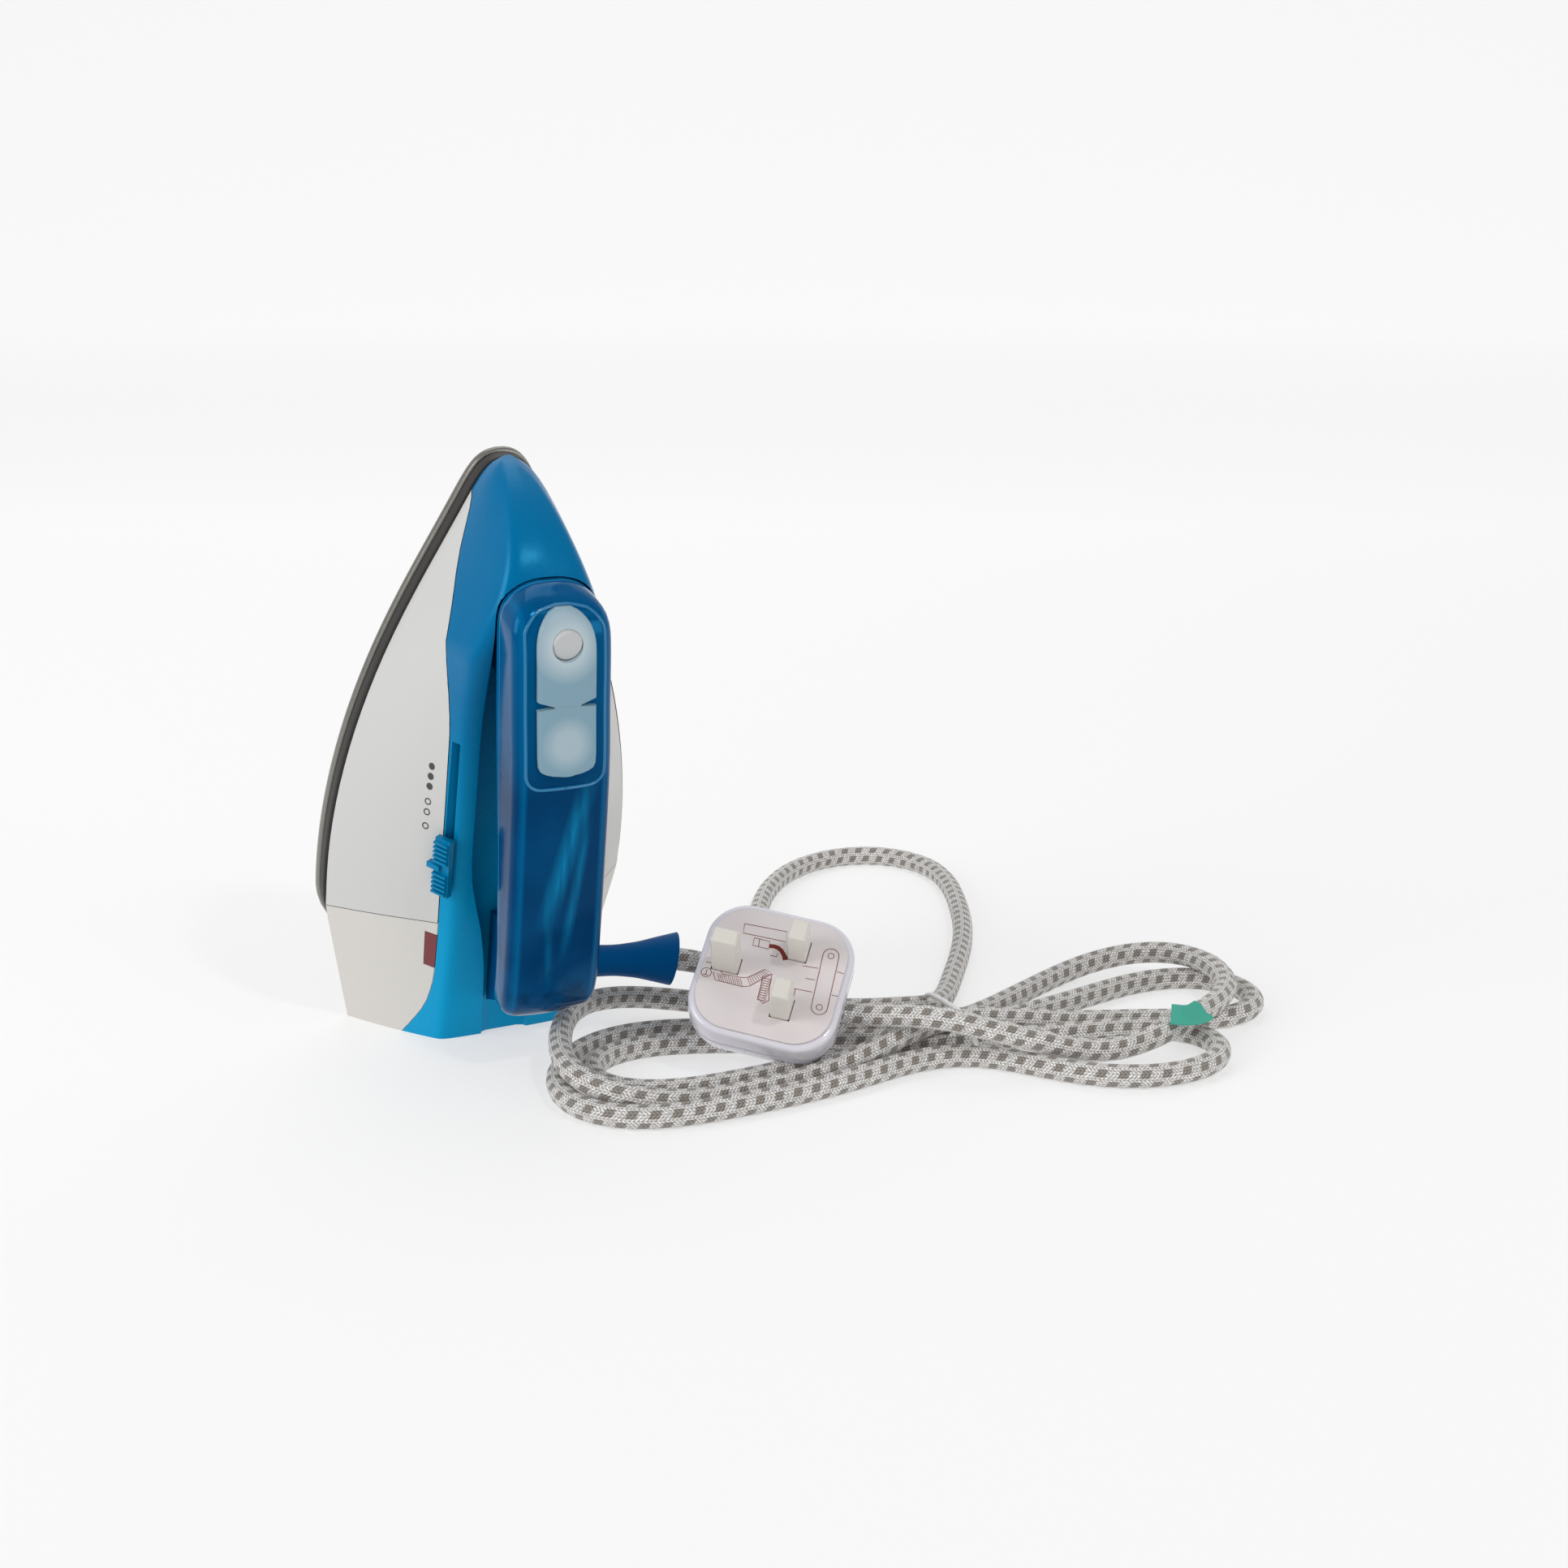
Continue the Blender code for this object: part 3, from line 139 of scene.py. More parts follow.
class Nodes:
    """A Principled material and short calls that add nodes to it."""

    def __init__(self, name, colour, rough, metal=0.0, coat=0.0, spec=None):
        self.material = bpy.data.materials.new(name)
        self.material.use_nodes = True
        self.tree = self.material.node_tree
        self.shader = self.tree.nodes["Principled BSDF"]
        self.set("Base Color", colour)
        self.set("Roughness", rough)
        self.set("Metallic", metal)
        if coat:
            self.set("Coat Weight", coat)
            self.set("Coat Roughness", 0.08)
        if spec is not None:
            self.set("Specular IOR Level", spec)
        self.material.diffuse_color = colour

    def tint(self, colour):
        self.shader.inputs["Specular Tint"].default_value = colour
        self.shader.inputs["Coat Tint"].default_value = colour
        return self

    def feed(self, socket, value):
        if hasattr(value, "is_output"):
            self.tree.links.new(value, socket)
        else:
            socket.default_value = value

    def set(self, socket, value):
        self.feed(self.shader.inputs[socket], value)

    def add(self, kind, inputs=(), **settings):
        node = self.tree.nodes.new(kind)
        for key, value in settings.items():
            setattr(node, key, value)
        for key, value in dict(inputs).items():
            self.feed(node.inputs[key], value)
        return node

    def base(self):
        return self.shader.inputs["Base Color"].links[0].from_socket

    def maths(self, operation, a, b=0.0, c=0.0):
        return self.add("ShaderNodeMath", {0: a, 1: b, 2: c}, operation=operation).outputs[0]

    def times(self, a, b):
        return self.maths("MULTIPLY", a, b)

    def vector(self, x, y, z):
        return self.add("ShaderNodeCombineXYZ", {0: x, 1: y, 2: z}).outputs[0]

    def distance(self, point, spot):
        return self.add("ShaderNodeVectorMath", {0: point, 1: spot}, operation="DISTANCE").outputs["Value"]

    def place(self):
        return self.add("ShaderNodeTexCoord").outputs["Object"]

    def noise(self, scale, detail=2.0, vector=None, rough=0.5):
        inputs = {"Vector": vector or self.place(), "Scale": scale, "Detail": detail, "Roughness": rough}
        return self.add("ShaderNodeTexNoise", inputs).outputs["Fac"]

    def ramp(self, value, low, high, to_low=0.0, to_high=1.0):
        spans = {"Value": value, "From Min": low, "From Max": high, "To Min": to_low, "To Max": to_high}
        return self.add("ShaderNodeMapRange", spans).outputs["Result"]

    def fall(self, value, low, high):
        return self.ramp(value, low, high, 1.0, 0.0)

    def mix(self, factor, a, b):
        return self.add("ShaderNodeMix", {0: factor, 6: a, 7: b}, data_type="RGBA").outputs[2]

    def bump(self, height, distance, strength=1.0):
        node = self.add("ShaderNodeBump", {"Height": height, "Distance": distance, "Strength": strength})
        self.set("Normal", node.outputs["Normal"])

    def along(self, direction, offset=0.0):
        """Distance in millimetres along a direction of the object's own axes."""
        dot = self.add("ShaderNodeVectorMath", {0: self.place(), 1: direction}, operation="DOT_PRODUCT")
        return self.maths("MULTIPLY_ADD", dot.outputs["Value"], 1000.0, offset)

    def iron_axes(self):
        """The place along the iron (x), to its left (y) and up from its sole (z), in millimetres."""
        shift = FOOT_Z / COSINE
        x = self.along((SINE, 0, COSINE), shift * SINE)
        y = self.along((0, -1, 0))
        z = self.along((COSINE, 0, -SINE), shift * COSINE)
        return x, y, z


def shade(colour, k):
    """The colour made k times as bright."""
    return (*(min(1.0, max(0.0, c * k)) for c in colour[:3]), 1.0)


def plastic(name, colour, rough, coat=0.0, mottle=0.05, spec=0.35):
    """A moulding with faint clouds of colour, uneven gloss and a fine grain."""
    m = Nodes(name, colour, rough, coat=coat, spec=spec)
    m.set("Base Color", m.mix(m.noise(22.0, 3.0), shade(colour, 1 - mottle), shade(colour, 1 + mottle)))
    m.set("Roughness", m.ramp(m.noise(60.0, 3.0), 0.3, 0.7, rough - 0.05, rough + 0.06))
    m.bump(m.noise(900.0, 2.0), 0.00003)
    return m


def cover_material():
    """Blue moulding with painted light and shade: painted brighter toward the heel, painted darker toward
    the nose.
    """
    m = plastic("cover_blue", srgb(0, 150, 200), 0.28, spec=0.42).tint(srgb(80, 205, 245))
    x = m.iron_axes()[0]
    painted_nose_shade = m.mix(m.noise(22.0, 3.0), srgb(0, 100, 150), srgb(0, 107, 158))
    base = m.base()
    # Painted shade: from x 55 to 150 the blue turns darker toward the nose, and the heel end stays painted
    # bright.
    m.set("Base Color", m.mix(m.ramp(x, 55.0, 150.0), base, painted_nose_shade))
    return m


def skirt_material():
    """White plastic with the printed heat marks beside the slider."""
    m = plastic("skirt_white", srgb(200, 200, 198), 0.42, mottle=0.012)
    base = m.base()
    x, y, z = m.iron_axes()
    left = m.maths("GREATER_THAN", y, 0.0)
    flank_slope, height = 1.35, 36.8
    point = m.vector(x, m.times(z, flank_slope), 0.0)
    marks = 0.0
    for i, spot in enumerate((121.0, 117.2, 113.4, 107.6, 103.6, 98.2)):
        gone = m.distance(point, (spot, flank_slope * height, 0))
        disc = m.fall(gone, 1.2, 1.45)
        if i > 2:
            disc = m.times(disc, m.ramp(gone, 0.7, 0.9))
        marks = m.maths("MAXIMUM", marks, disc)
    m.set("Base Color", m.mix(m.times(marks, left), base, srgb(70, 68, 66)))
    return m


def metal(name, colour, rough):
    """Metal with a fine uneven polish."""
    m = Nodes(name, colour, rough, metal=1.0)
    lines = m.noise(300.0, 3.0)
    m.set("Roughness", m.ramp(lines, 0.3, 0.7, rough - 0.08, rough + 0.1))
    m.set("Base Color", m.mix(m.noise(30.0), shade(colour, 0.93), shade(colour, 1.05)))
    m.bump(lines, 0.00002)
    return m


def sole_material():
    """Satin metal, brushed along the iron."""
    m = Nodes("sole_metal", srgb(176, 174, 166), 0.34, metal=1.0)
    x, y, z = m.iron_axes()
    lines = m.noise(2.4, 3.0, m.vector(m.times(x, 0.012), y, z))
    m.set("Roughness", m.ramp(lines, 0.3, 0.7, 0.28, 0.42))
    m.set("Base Color", m.mix(lines, srgb(128, 126, 121), srgb(152, 150, 144)))
    m.bump(lines, 0.000006)
    return m


def tank_material():
    """Tinted tank: painted edge highlights along its upper sides, a paler line and strip along its lower
    rim, slanting painted reflections of the parts inside it, and painted shade, darker and mottled, at its
    heel.
    """
    deep, mid, light = srgb(0, 46, 90), srgb(0, 74, 124), srgb(12, 136, 186)
    m = Nodes("tank_blue", mid, 0.14, spec=0.34).tint(srgb(50, 185, 240))
    x, y, z = m.iron_axes()
    side = m.maths("ABSOLUTE", y)
    colour = m.mix(m.ramp(m.noise(16.0, 3.0), 0.35, 0.65), deep, mid)
    crown = m.times(m.ramp(x, 130.0, 150.0), m.ramp(m.noise(9.0), 0.3, 0.7))
    colour = m.mix(m.times(crown, 0.5), colour, srgb(0, 92, 142))
    fibre = m.ramp(m.noise(1.6, 4.0, m.vector(m.times(x, 0.02), m.times(y, 0.3), 0.0), 0.6), 0.35, 0.7)
    # Painted reflections of the parts inside the tank, as slanting pale bands: start, slope, width, first
    # and last x along the iron, and strength.
    painted_reflections = (
        (-1.5, 0.26, 4.4, 82.0, 138.0, 0.75),
        (-7.0, 0.14, 2.4, 70.0, 124.0, 0.5),
        (5.0, -0.05, 2.0, 58.0, 104.0, 0.3),
    )
    for start, slope, wide, low, high, amount in painted_reflections:
        centre = m.maths("ADD", m.times(m.maths("SUBTRACT", 110.0, x), slope), start)
        gap = m.maths("ABSOLUTE", m.maths("SUBTRACT", y, centre))
        band = m.times(m.fall(gap, 0.2, wide), m.ramp(x, low, low + 16.0))
        band = m.times(band, m.fall(x, high - 14.0, high))
        band = m.times(m.times(band, m.maths("MULTIPLY_ADD", fibre, 0.6, 0.4)), amount)
        colour = m.mix(band, colour, light)
    # Painted shade: a mottled darker blue toward the tank's heel.
    painted_heel_shade = m.times(m.fall(x, 58.0, 88.0), m.ramp(m.noise(70.0, 4.0, rough=0.65), 0.48, 0.62))
    colour = m.mix(m.times(painted_heel_shade, 0.6), colour, srgb(0, 34, 62))
    # Painted edge highlight: a paler band along the tank's rounded upper sides.
    rim = m.times(m.ramp(side, 12.2, 13.6), m.fall(side, 13.6, 15.4))
    colour = m.mix(m.times(rim, 0.55), colour, srgb(0, 104, 156))
    edge = m.maths("SUBTRACT", z, m.maths("MULTIPLY_ADD", x, -0.1895, 89.3))
    line = m.fall(m.maths("ABSOLUTE", edge), 0.25, 0.55)
    foot = m.fall(edge, -1.4, -0.6)
    colour = m.mix(m.times(line, 0.6), colour, srgb(40, 140, 190))
    colour = m.mix(m.times(foot, 0.5), colour, srgb(0, 96, 150))
    m.set("Base Color", colour)
    m.bump(m.noise(40.0, 2.0), 0.00006)
    return m


def frost_material():
    """Frosted panel: paler where the light button sits behind it."""
    m = plastic("frost", srgb(122, 155, 171), 0.42, mottle=0.03)
    base = m.base()
    x, y, _ = m.iron_axes()
    point = m.vector(x, y, 0.0)
    for spot, radius, amount in (((BUTTON_X, 0, 0), 12.0, 0.45), ((FILL_X, 0, 0), 9.0, 0.3)):
        gone = m.distance(point, spot)
        glow = m.times(m.fall(gone, radius * 0.45, radius), amount)
        base = m.mix(glow, base, srgb(220, 226, 228))
    m.set("Base Color", base)
    return m


def braid_material():
    """Pale herringbone braid with staggered dark checks. It reads metres along and turns round."""
    m = Nodes("flex_braid", srgb(222, 218, 215), 0.5)
    lay = m.add("ShaderNodeUVMap", uv_map="lay").outputs["UV"]
    parts = m.add("ShaderNodeSeparateXYZ", {0: lay})
    along = m.times(parts.outputs[0], 1000.0)
    rows = m.times(parts.outputs[1], 6.0)
    within = m.maths("FRACT", rows)
    odd = m.maths("MODULO", m.maths("FLOOR", rows), 2.0)
    strand = m.maths("FRACT", m.times(rows, 4.0))
    slant = m.times(m.maths("PINGPONG", m.times(rows, 2.0), 1.0), 0.8)
    stair = m.times(m.maths("FLOOR", m.times(within, 4.0)), 0.4)
    shifted = m.maths("ADD", m.times(odd, CHECK_PITCH / 2), m.maths("ADD", along, stair))
    step = m.maths("FRACT", m.maths("DIVIDE", shifted, CHECK_PITCH))
    on = m.ramp(m.maths("PINGPONG", m.maths("SUBTRACT", step, 0.25), 0.5), 0.21, 0.25, 1.0, 0.0)
    inside = m.times(m.ramp(within, 0.12, 0.18), m.fall(within, 0.82, 0.88))
    dark = m.times(on, inside)
    herring = m.maths("FRACT", m.times(m.maths("ADD", along, m.times(slant, 2.2)), 0.8))
    relief = m.ramp(m.maths("PINGPONG", herring, 0.5), 0.02, 0.4)
    valley = m.times(m.maths("PINGPONG", strand, 0.5), 2.0)
    height = m.maths("ADD", m.times(relief, 0.6), m.times(m.ramp(valley, 0.0, 0.5), 0.4))
    # Painted shade and painted sparkle: the braid is painted darker where the weave's height is low, in the
    # grooves between strands, and the glint noise paints bright sparkle on the strands.
    glint = m.ramp(m.noise(1500.0, 1.0), 0.4, 0.6)
    pale = m.mix(height, srgb(112, 108, 104), m.mix(glint, srgb(206, 202, 198), srgb(255, 254, 252)))
    brown = m.mix(height, srgb(70, 64, 59), srgb(150, 142, 134))
    m.set("Base Color", m.mix(dark, pale, brown))
    m.set("Sheen Weight", 0.3)
    m.bump(height, 0.00035, 0.8)
    return m


# ---- cord
CORD_D, FLOOR_LIE, STIFFNESS = 0.0079, 4.1, 0.055
LEAD = ((51.6, 43.0, 29.4), (53.7, 51.0, 29.0), (55.5, 64, 25), (51, 80, 14), (36, 94, 5.4), (8, 108),
        (-28, 124), (-62, 144), (-85, 165), (-98, 189), (-96, 212), (-76, 226), (-48, 223), (-18, 211),
        (14, 194), (44, 173), (70, 152, 5.0))
HANK = (
    (88, 136, 7.5), (93, 119, 10.5), (84, 101, 10.5), (66, 84, 9), (48, 68, 7.5), (35, 54, 7.5),
    (30, 40, 9), (37, 24, 11.5), (52, 11, 12), (70, 3, 12), (90, -3, 12), (106, -1, 10.5), (115, 10, 7),
    (118, 26, 4.4), (118.5, 45), (118.5, 64), (117, 85, 6), (114, 107, 10), (108.1, 131, 10.8),
    (112, 150, 9), (117, 170, 5), (121, 190), (127, 208), (134, 222), (135, 238), (125, 250), (109, 252),
    (96, 243), (92, 226), (94, 205), (98, 183), (101, 158), (104.2, 131), (98, 108), (88, 86), (78, 65),
    (70, 46), (66, 30), (71, 15), (84, 7), (98, 11), (106, 25), (109, 50), (108, 81), (110, 107),
    (111.9, 131), (117, 152), (122, 172), (126, 189), (134, 204), (149, 212), (163, 206), (169, 191),
    (167, 173), (158, 157), (144, 146), (130, 137), (121, 123), (121, 106), (125, 84), (127, 58), (126, 34),
    (124, 16), (116, 2), (103, -6), (87, -5), (72, 2), (60, 14), (54, 30), (57, 47), (66, 66), (78, 87),
    (89, 109), (96.5, 131), (92, 152), (84, 172), (76, 192, 4.3), (71, 212, 6), (75, 230, 9),
    (87, 241, 11.6), (103, 244, 12), (119, 240, 12), (132, 230, 12), (141, 216, 12), (146, 203, 12),
    (148, 188, 9), (147, 170, 5), (144, 160, 7),
)
PLUG_AT = (96.0, 68.3, 33.4)
PLUG_HEADING, PLUG_TILT, PLUG_ROLL = math.radians(-27), math.radians(47), math.radians(15)
flat = math.cos(PLUG_TILT)
facing = Vector((math.cos(PLUG_HEADING) * flat, math.sin(PLUG_HEADING) * flat, math.sin(PLUG_TILT)))
level = Vector((-math.sin(PLUG_HEADING), math.cos(PLUG_HEADING), 0))
rise = facing.cross(level)
outward = level * math.cos(PLUG_ROLL) - rise * math.sin(PLUG_ROLL)
PLUG_TURN = Matrix((outward, facing.cross(outward), facing)).transposed()
PLUG = Matrix.Translation(Vector(PLUG_AT)) @ PLUG_TURN.to_4x4()
PLUG_CORD_Z = -13.0
plug_start = tuple(PLUG @ Vector((17.0, 0, PLUG_CORD_Z)))
plug_exit = tuple(PLUG @ Vector((30.0, 0, PLUG_CORD_Z)))
TAIL = ((141, 148, 11.6), (137.5, 137, 14), (134, 128, 17), (128, 119, 19.7), (120, 111, 19.8),
        plug_exit, plug_start)


def catmull(route, step):
    """A smooth curve through route points, read about every step."""
    pts = [np.array(p, float) for p in route]
    pts = [2 * pts[0] - pts[1]] + pts + [2 * pts[-1] - pts[-2]]
    out = []
    for a, b, c, d in zip(pts, pts[1:], pts[2:], pts[3:]):
        n = max(2, int(round(np.linalg.norm(c - b) / step)))
        for i in range(n):
            t = i / n
            out.append(0.5 * (2 * b + (c - a) * t + (2 * a - 5 * b + 4 * c - d) * t * t
                              + (3 * b - a - 3 * c + d) * t**3))
    out.append(pts[-2])
    return np.array(out)


def laid(route):
    """The route, with points that have no height put on the floor."""
    return [tuple(p) if len(p) == 3 else (*p, FLOOR_LIE) for p in route]


def reached(points):
    """How far along the line each point lies."""
    return np.concatenate([[0], np.cumsum(np.linalg.norm(np.diff(points, axis=0), axis=1))])


def evenly(points, step):
    """The same line with its points an even step apart."""
    gone = reached(points)
    count = int(round(gone[-1] / step)) + 1
    at = np.linspace(0, gone[-1], count)
    return np.stack([np.interp(at, gone, points[:, k]) for k in range(3)], axis=1)


def settle(points, thick):
    """Strands pushed apart where they meet, kept smooth and above the floor."""
    p = points.copy()
    step = np.linalg.norm(np.diff(p, axis=0), axis=1).mean()
    index = np.arange(len(p))
    far = np.abs(index[:, None] - index[None, :]) > math.ceil(2.4 * thick / step)
    free = np.ones((len(p), 1))
    free[:18] = 0
    free[-12:] = 0
    for _ in range(160):
        delta = p[:, None, :] - p[None, :, :]
        gap = np.linalg.norm(delta, axis=2) + 1e-9
        push = np.where(far & (gap < thick), (thick - gap) / gap, 0.0)
        move = 0.45 * (push[:, :, None] * delta).sum(axis=1)
        size = np.linalg.norm(move, axis=1, keepdims=True)
        move *= np.minimum(1, 1.2 / np.maximum(size, 1e-9))
        p += move * free
        for _ in range(8):
            bend = np.zeros_like(p)
            bend[1:-1] = p[:-2] + p[2:] - 2 * p[1:-1]
            stiff = np.zeros_like(p)
            stiff[2:-2] = bend[1:-3] + bend[3:-1] - 2 * bend[2:-2]
            p -= STIFFNESS * stiff * free
        p += 0.003 * (points - p) * free
        p[:, 2] = np.maximum(p[:, 2], FLOOR_LIE)
    return p


def tube(name, points, radius, sides):
    """A swept tube with even frames; its map holds metres along and turns round."""
    p = np.array(points)
    tangents = np.gradient(p, axis=0)
    tangents /= np.linalg.norm(tangents, axis=1, keepdims=True)
    normal = np.cross(tangents[0], (0, 0, 1))
    if np.linalg.norm(normal) < 1e-3:
        normal = np.cross(tangents[0], (0, 1, 0))
    normal /= np.linalg.norm(normal)
    gone = reached(p)
    bm = bmesh.new()
    layer = bm.loops.layers.uv.new("lay")
    rings = []
    for i in range(len(p)):
        normal = normal - tangents[i] * normal.dot(tangents[i])
        normal /= np.linalg.norm(normal)
        other = np.cross(tangents[i], normal)
        rings.append([bm.verts.new(p[i] + radius * (normal * math.cos(2 * math.pi * k / sides)
                                                    + other * math.sin(2 * math.pi * k / sides)))
                      for k in range(sides)])
    for i in range(len(p) - 1):
        for k in range(sides):
            j = (k + 1) % sides
            face = bm.faces.new((rings[i][k], rings[i][j], rings[i + 1][j], rings[i + 1][k]))
            face.smooth = True
            for loop, (a, b) in zip(face.loops, ((i, k), (i, k + 1), (i + 1, k + 1), (i + 1, k))):
                loop[layer].uv = (gone[a], b / sides)
    bm.faces.new(list(reversed(rings[0])))
    bm.faces.new(rings[-1])
    bmesh.ops.recalc_face_normals(bm, faces=bm.faces)
    return placed(name, bm), gone[-1]


def claim(obj, *replaced, slot, body="iron"):
    """Says the piece's body and the nodes that it stands for; slot is not used."""
    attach(obj, body)
    if replaced:
        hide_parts(*replaced)


def flex():
    """The braided flex as one tube, from inside the guard, round the hank and into the plug."""
    line = settle(evenly(catmull(laid(LEAD + HANK + TAIL), 3.0), 3.6), 7.95)
    line = evenly(catmull(line, 1.8), 1.8) * MM
    cord, length = tube("flex", line, CORD_D / 2, 16)
    claim(painted(cord, braid_material()), "cord_lead", "cord_hank", "cord_plug_end", slot="braid")
    return cord, line, length, [c * MM for c in LEAD[1]]


view()
lights()
studio()
cord, cord_line, cord_length, cord_exit = flex()


# ---- shells, drawn smooth
# Drawn as the iron lies when ironing, in millimetres: x to the nose, y to its left, z up from the sole.
STAND = Matrix(((SINE * MM, 0, COSINE * MM, -FOOT_Z / COSINE * MM), (0, -MM, 0, 0),
                (COSINE * MM, 0, -SINE * MM, 0), (0, 0, 0, 1)))
PLUG_MM = Matrix.Scale(MM, 4) @ PLUG
NOSE_X, SOLE_REAR_X, SOLE_WIDEST_X, SOLE_MIDDLE_X = 217.0, 40.0, 60.0, 105.0
SOLE_HALF, SOLE_CORNER = 56.3, 7.3
COVER_Z, WALL, SEAM_OFFSET, SHOULDER_Y = 8.0, 2.2, 50.0, 24.2
PARTING = ((9.7, 31.6), (18, 36), (28, 40), (41, 42), (60, 42.4), (98, 42.2), (134, 41.6),
           (149, 40.4), (166, 36.6), (177, 31.2), (188, 23), (202, 13.5), (206.5, 7.5))
TROUGH_HALF, TROUGH_FLOOR, TROUGH_END_X = 17.1, 34.0, 178.0
HANDLE_TOP = ((44, 74), (47, 81), (53, 85), (62, 86), (85, 84.5), (110, 82), (138, 78.5), (160, 73.5),
              (176, 70), (186, 66.5), (191, 62), (193.4, 55))
HANDLE_RIM = ((44, 73.2), (60, 75), (91, 70.5), (115, 65.5), (145, 58.6), (184, 51.5), (194, 50))
PANEL_HALF = 9.8
LENS_X, LENS_AT = (42.8, 56.8), (26.8, 41.6)


def mirrored(half):
    """A half section with its mirror image."""
    return half + [(-y, z) for y, z in reversed(half)]


def spline(points, x):
    """A smooth curve through points, read at x (monotone Hermite)."""
    xs = [p[0] for p in points]
    ys = [p[1] for p in points]
    if x <= xs[0]:
        return ys[0]
    if x >= xs[-1]:
        return ys[-1]
    slopes = [(ys[i + 1] - ys[i]) / (xs[i + 1] - xs[i]) for i in range(len(xs) - 1)]
    tangents = [slopes[0]]
    for left, right in zip(slopes, slopes[1:]):
        tangents.append(0 if left * right <= 0 else 2 * left * right / (left + right))
    tangents.append(slopes[-1])
    i = max(k for k in range(len(xs) - 1) if xs[k] <= x)
    h = xs[i + 1] - xs[i]
    t = (x - xs[i]) / h
    return (ys[i] * (1 + 2 * t) * (1 - t) ** 2 + tangents[i] * h * t * (1 - t) ** 2
            + ys[i + 1] * t * t * (3 - 2 * t) + tangents[i + 1] * h * t * t * (t - 1))


def loft(name, rings, to_world=STAND, material=None):
    """A closed solid through rings of equal length, put in its place in the world."""
    bm = bmesh.new()
    made = [[bm.verts.new(to_world @ Vector(p)) for p in ring] for ring in rings]
    count = len(rings[0])
    for first, second in zip(made, made[1:]):
        for i in range(count):
            j = (i + 1) % count
            bm.faces.new((first[i], first[j], second[j], second[i]))
    bm.faces.new(list(reversed(made[0])))
    bm.faces.new(made[-1])
    bmesh.ops.recalc_face_normals(bm, faces=bm.faces)
    obj = placed(name, bm)
    return painted(obj, material) if material else obj


def carve(obj, others, smooth=32, round_off=0.0):
    """Boolean steps, each (operation, solid), and a soft edge, made into a plain smooth mesh."""
    for operation, other in others:
        step = obj.modifiers.new("step", "BOOLEAN")
        step.operation = operation
        step.solver = "EXACT"
        step.object = other
    if round_off:
        edge = obj.modifiers.new("edge", "BEVEL")
        edge.width = round_off * MM
        edge.segments = 3
        edge.limit_method = "ANGLE"
        edge.angle_limit = math.radians(50)
    bpy.context.view_layer.update()
    graph = bpy.context.evaluated_depsgraph_get()
    mesh = bpy.data.meshes.new_from_object(obj.evaluated_get(graph))
    obj.modifiers.clear()
    obj.data = mesh
    for face in mesh.polygons:
        face.use_smooth = True
    mesh.set_sharp_from_angle(angle=math.radians(smooth))
    return obj


def cut_out(obj, tools, smooth=32):
    """Takes the cutting solids away from the piece."""
    return carve(obj, [("DIFFERENCE", tool) for tool in tools], smooth)


def drop(*objects):
    """Deletes the cutting solids once they have been used."""
    for obj in objects:
        bpy.data.objects.remove(obj, do_unlink=True)


def sole_half(x):
    """Half the sole's width at x."""
    if x < SOLE_WIDEST_X:
        back = (SOLE_WIDEST_X - x) / (SOLE_WIDEST_X - SOLE_REAR_X)
        return SOLE_HALF - SOLE_CORNER * back**2.5
    u = min(1.0, (x - SOLE_WIDEST_X) / (NOSE_X - SOLE_WIDEST_X))
    return SOLE_HALF * (1 - u * u) ** (0.92 - 0.38 * u**10)


def sole_outline(inset, rear=SOLE_REAR_X):
    """The sole's outline drawn in by an inset, with small rounds at its rear corners."""
    left = []
    count = 70
    span = NOSE_X - 0.05 - rear
    for i in range(count):
        x = rear + span * math.sin(0.5 * math.pi * i / (count - 1))
        slope = (sole_half(x + 0.5) - sole_half(x - 0.5)) if x < NOSE_X - 1 else -3.0
        lean = math.sqrt(1 + slope * slope)
        y = sole_half(x) - inset / lean
        px = x + inset * slope / lean
        if y > 0.5 and (not left or px > left[-1][0] + 0.3):
            left.append((px, y))
    left[0] = (rear, left[0][1])
    corner = [(rear + 2.5 * (1 - math.sin(a)), left[0][1] - 2.5 * (1 - math.cos(a)))
              for a in (math.pi / 2, math.pi / 3, math.pi / 6, 0)]
    left = corner + [p for p in left if p[0] > rear + 3]
    return left + [(x, -y) for x, y in reversed(left)]


def plate(name, inset, z0, z1, edge, material):
    """A flat piece with the sole's outline and a small round along its edges."""
    rings = []
    for k, z in ((edge, z0), (0.3 * edge, z0 + 0.3 * edge), (0, z0 + edge), (0, z1 - edge),
                 (0.3 * edge, z1 - 0.3 * edge), (edge, z1)):
        rings.append([(SOLE_MIDDLE_X + (x - SOLE_MIDDLE_X) * (1 - k / 80), y * (1 - k / 50), z)
                      for x, y in sole_outline(inset)])
    return carve(loft(name, rings, material=material), [], 28)


def cover_half(x):
    """Half the covers' width at their foot."""
    return min(45.3 + 0.19 * x, sole_half(max(x, SOLE_WIDEST_X)) - 1.6)


def shoulder_z(x):
    """The height where the covers' flank turns into their top."""
    if x > 185:
        u = min(1.0, (x - 185) / 33)
        return COVER_Z + 42 * (1 - u * u) ** 0.75
    u = max(0.0, (x - 135) / 50)
    return 43.5 + 6.5 * u * u * (3 - 2 * u)


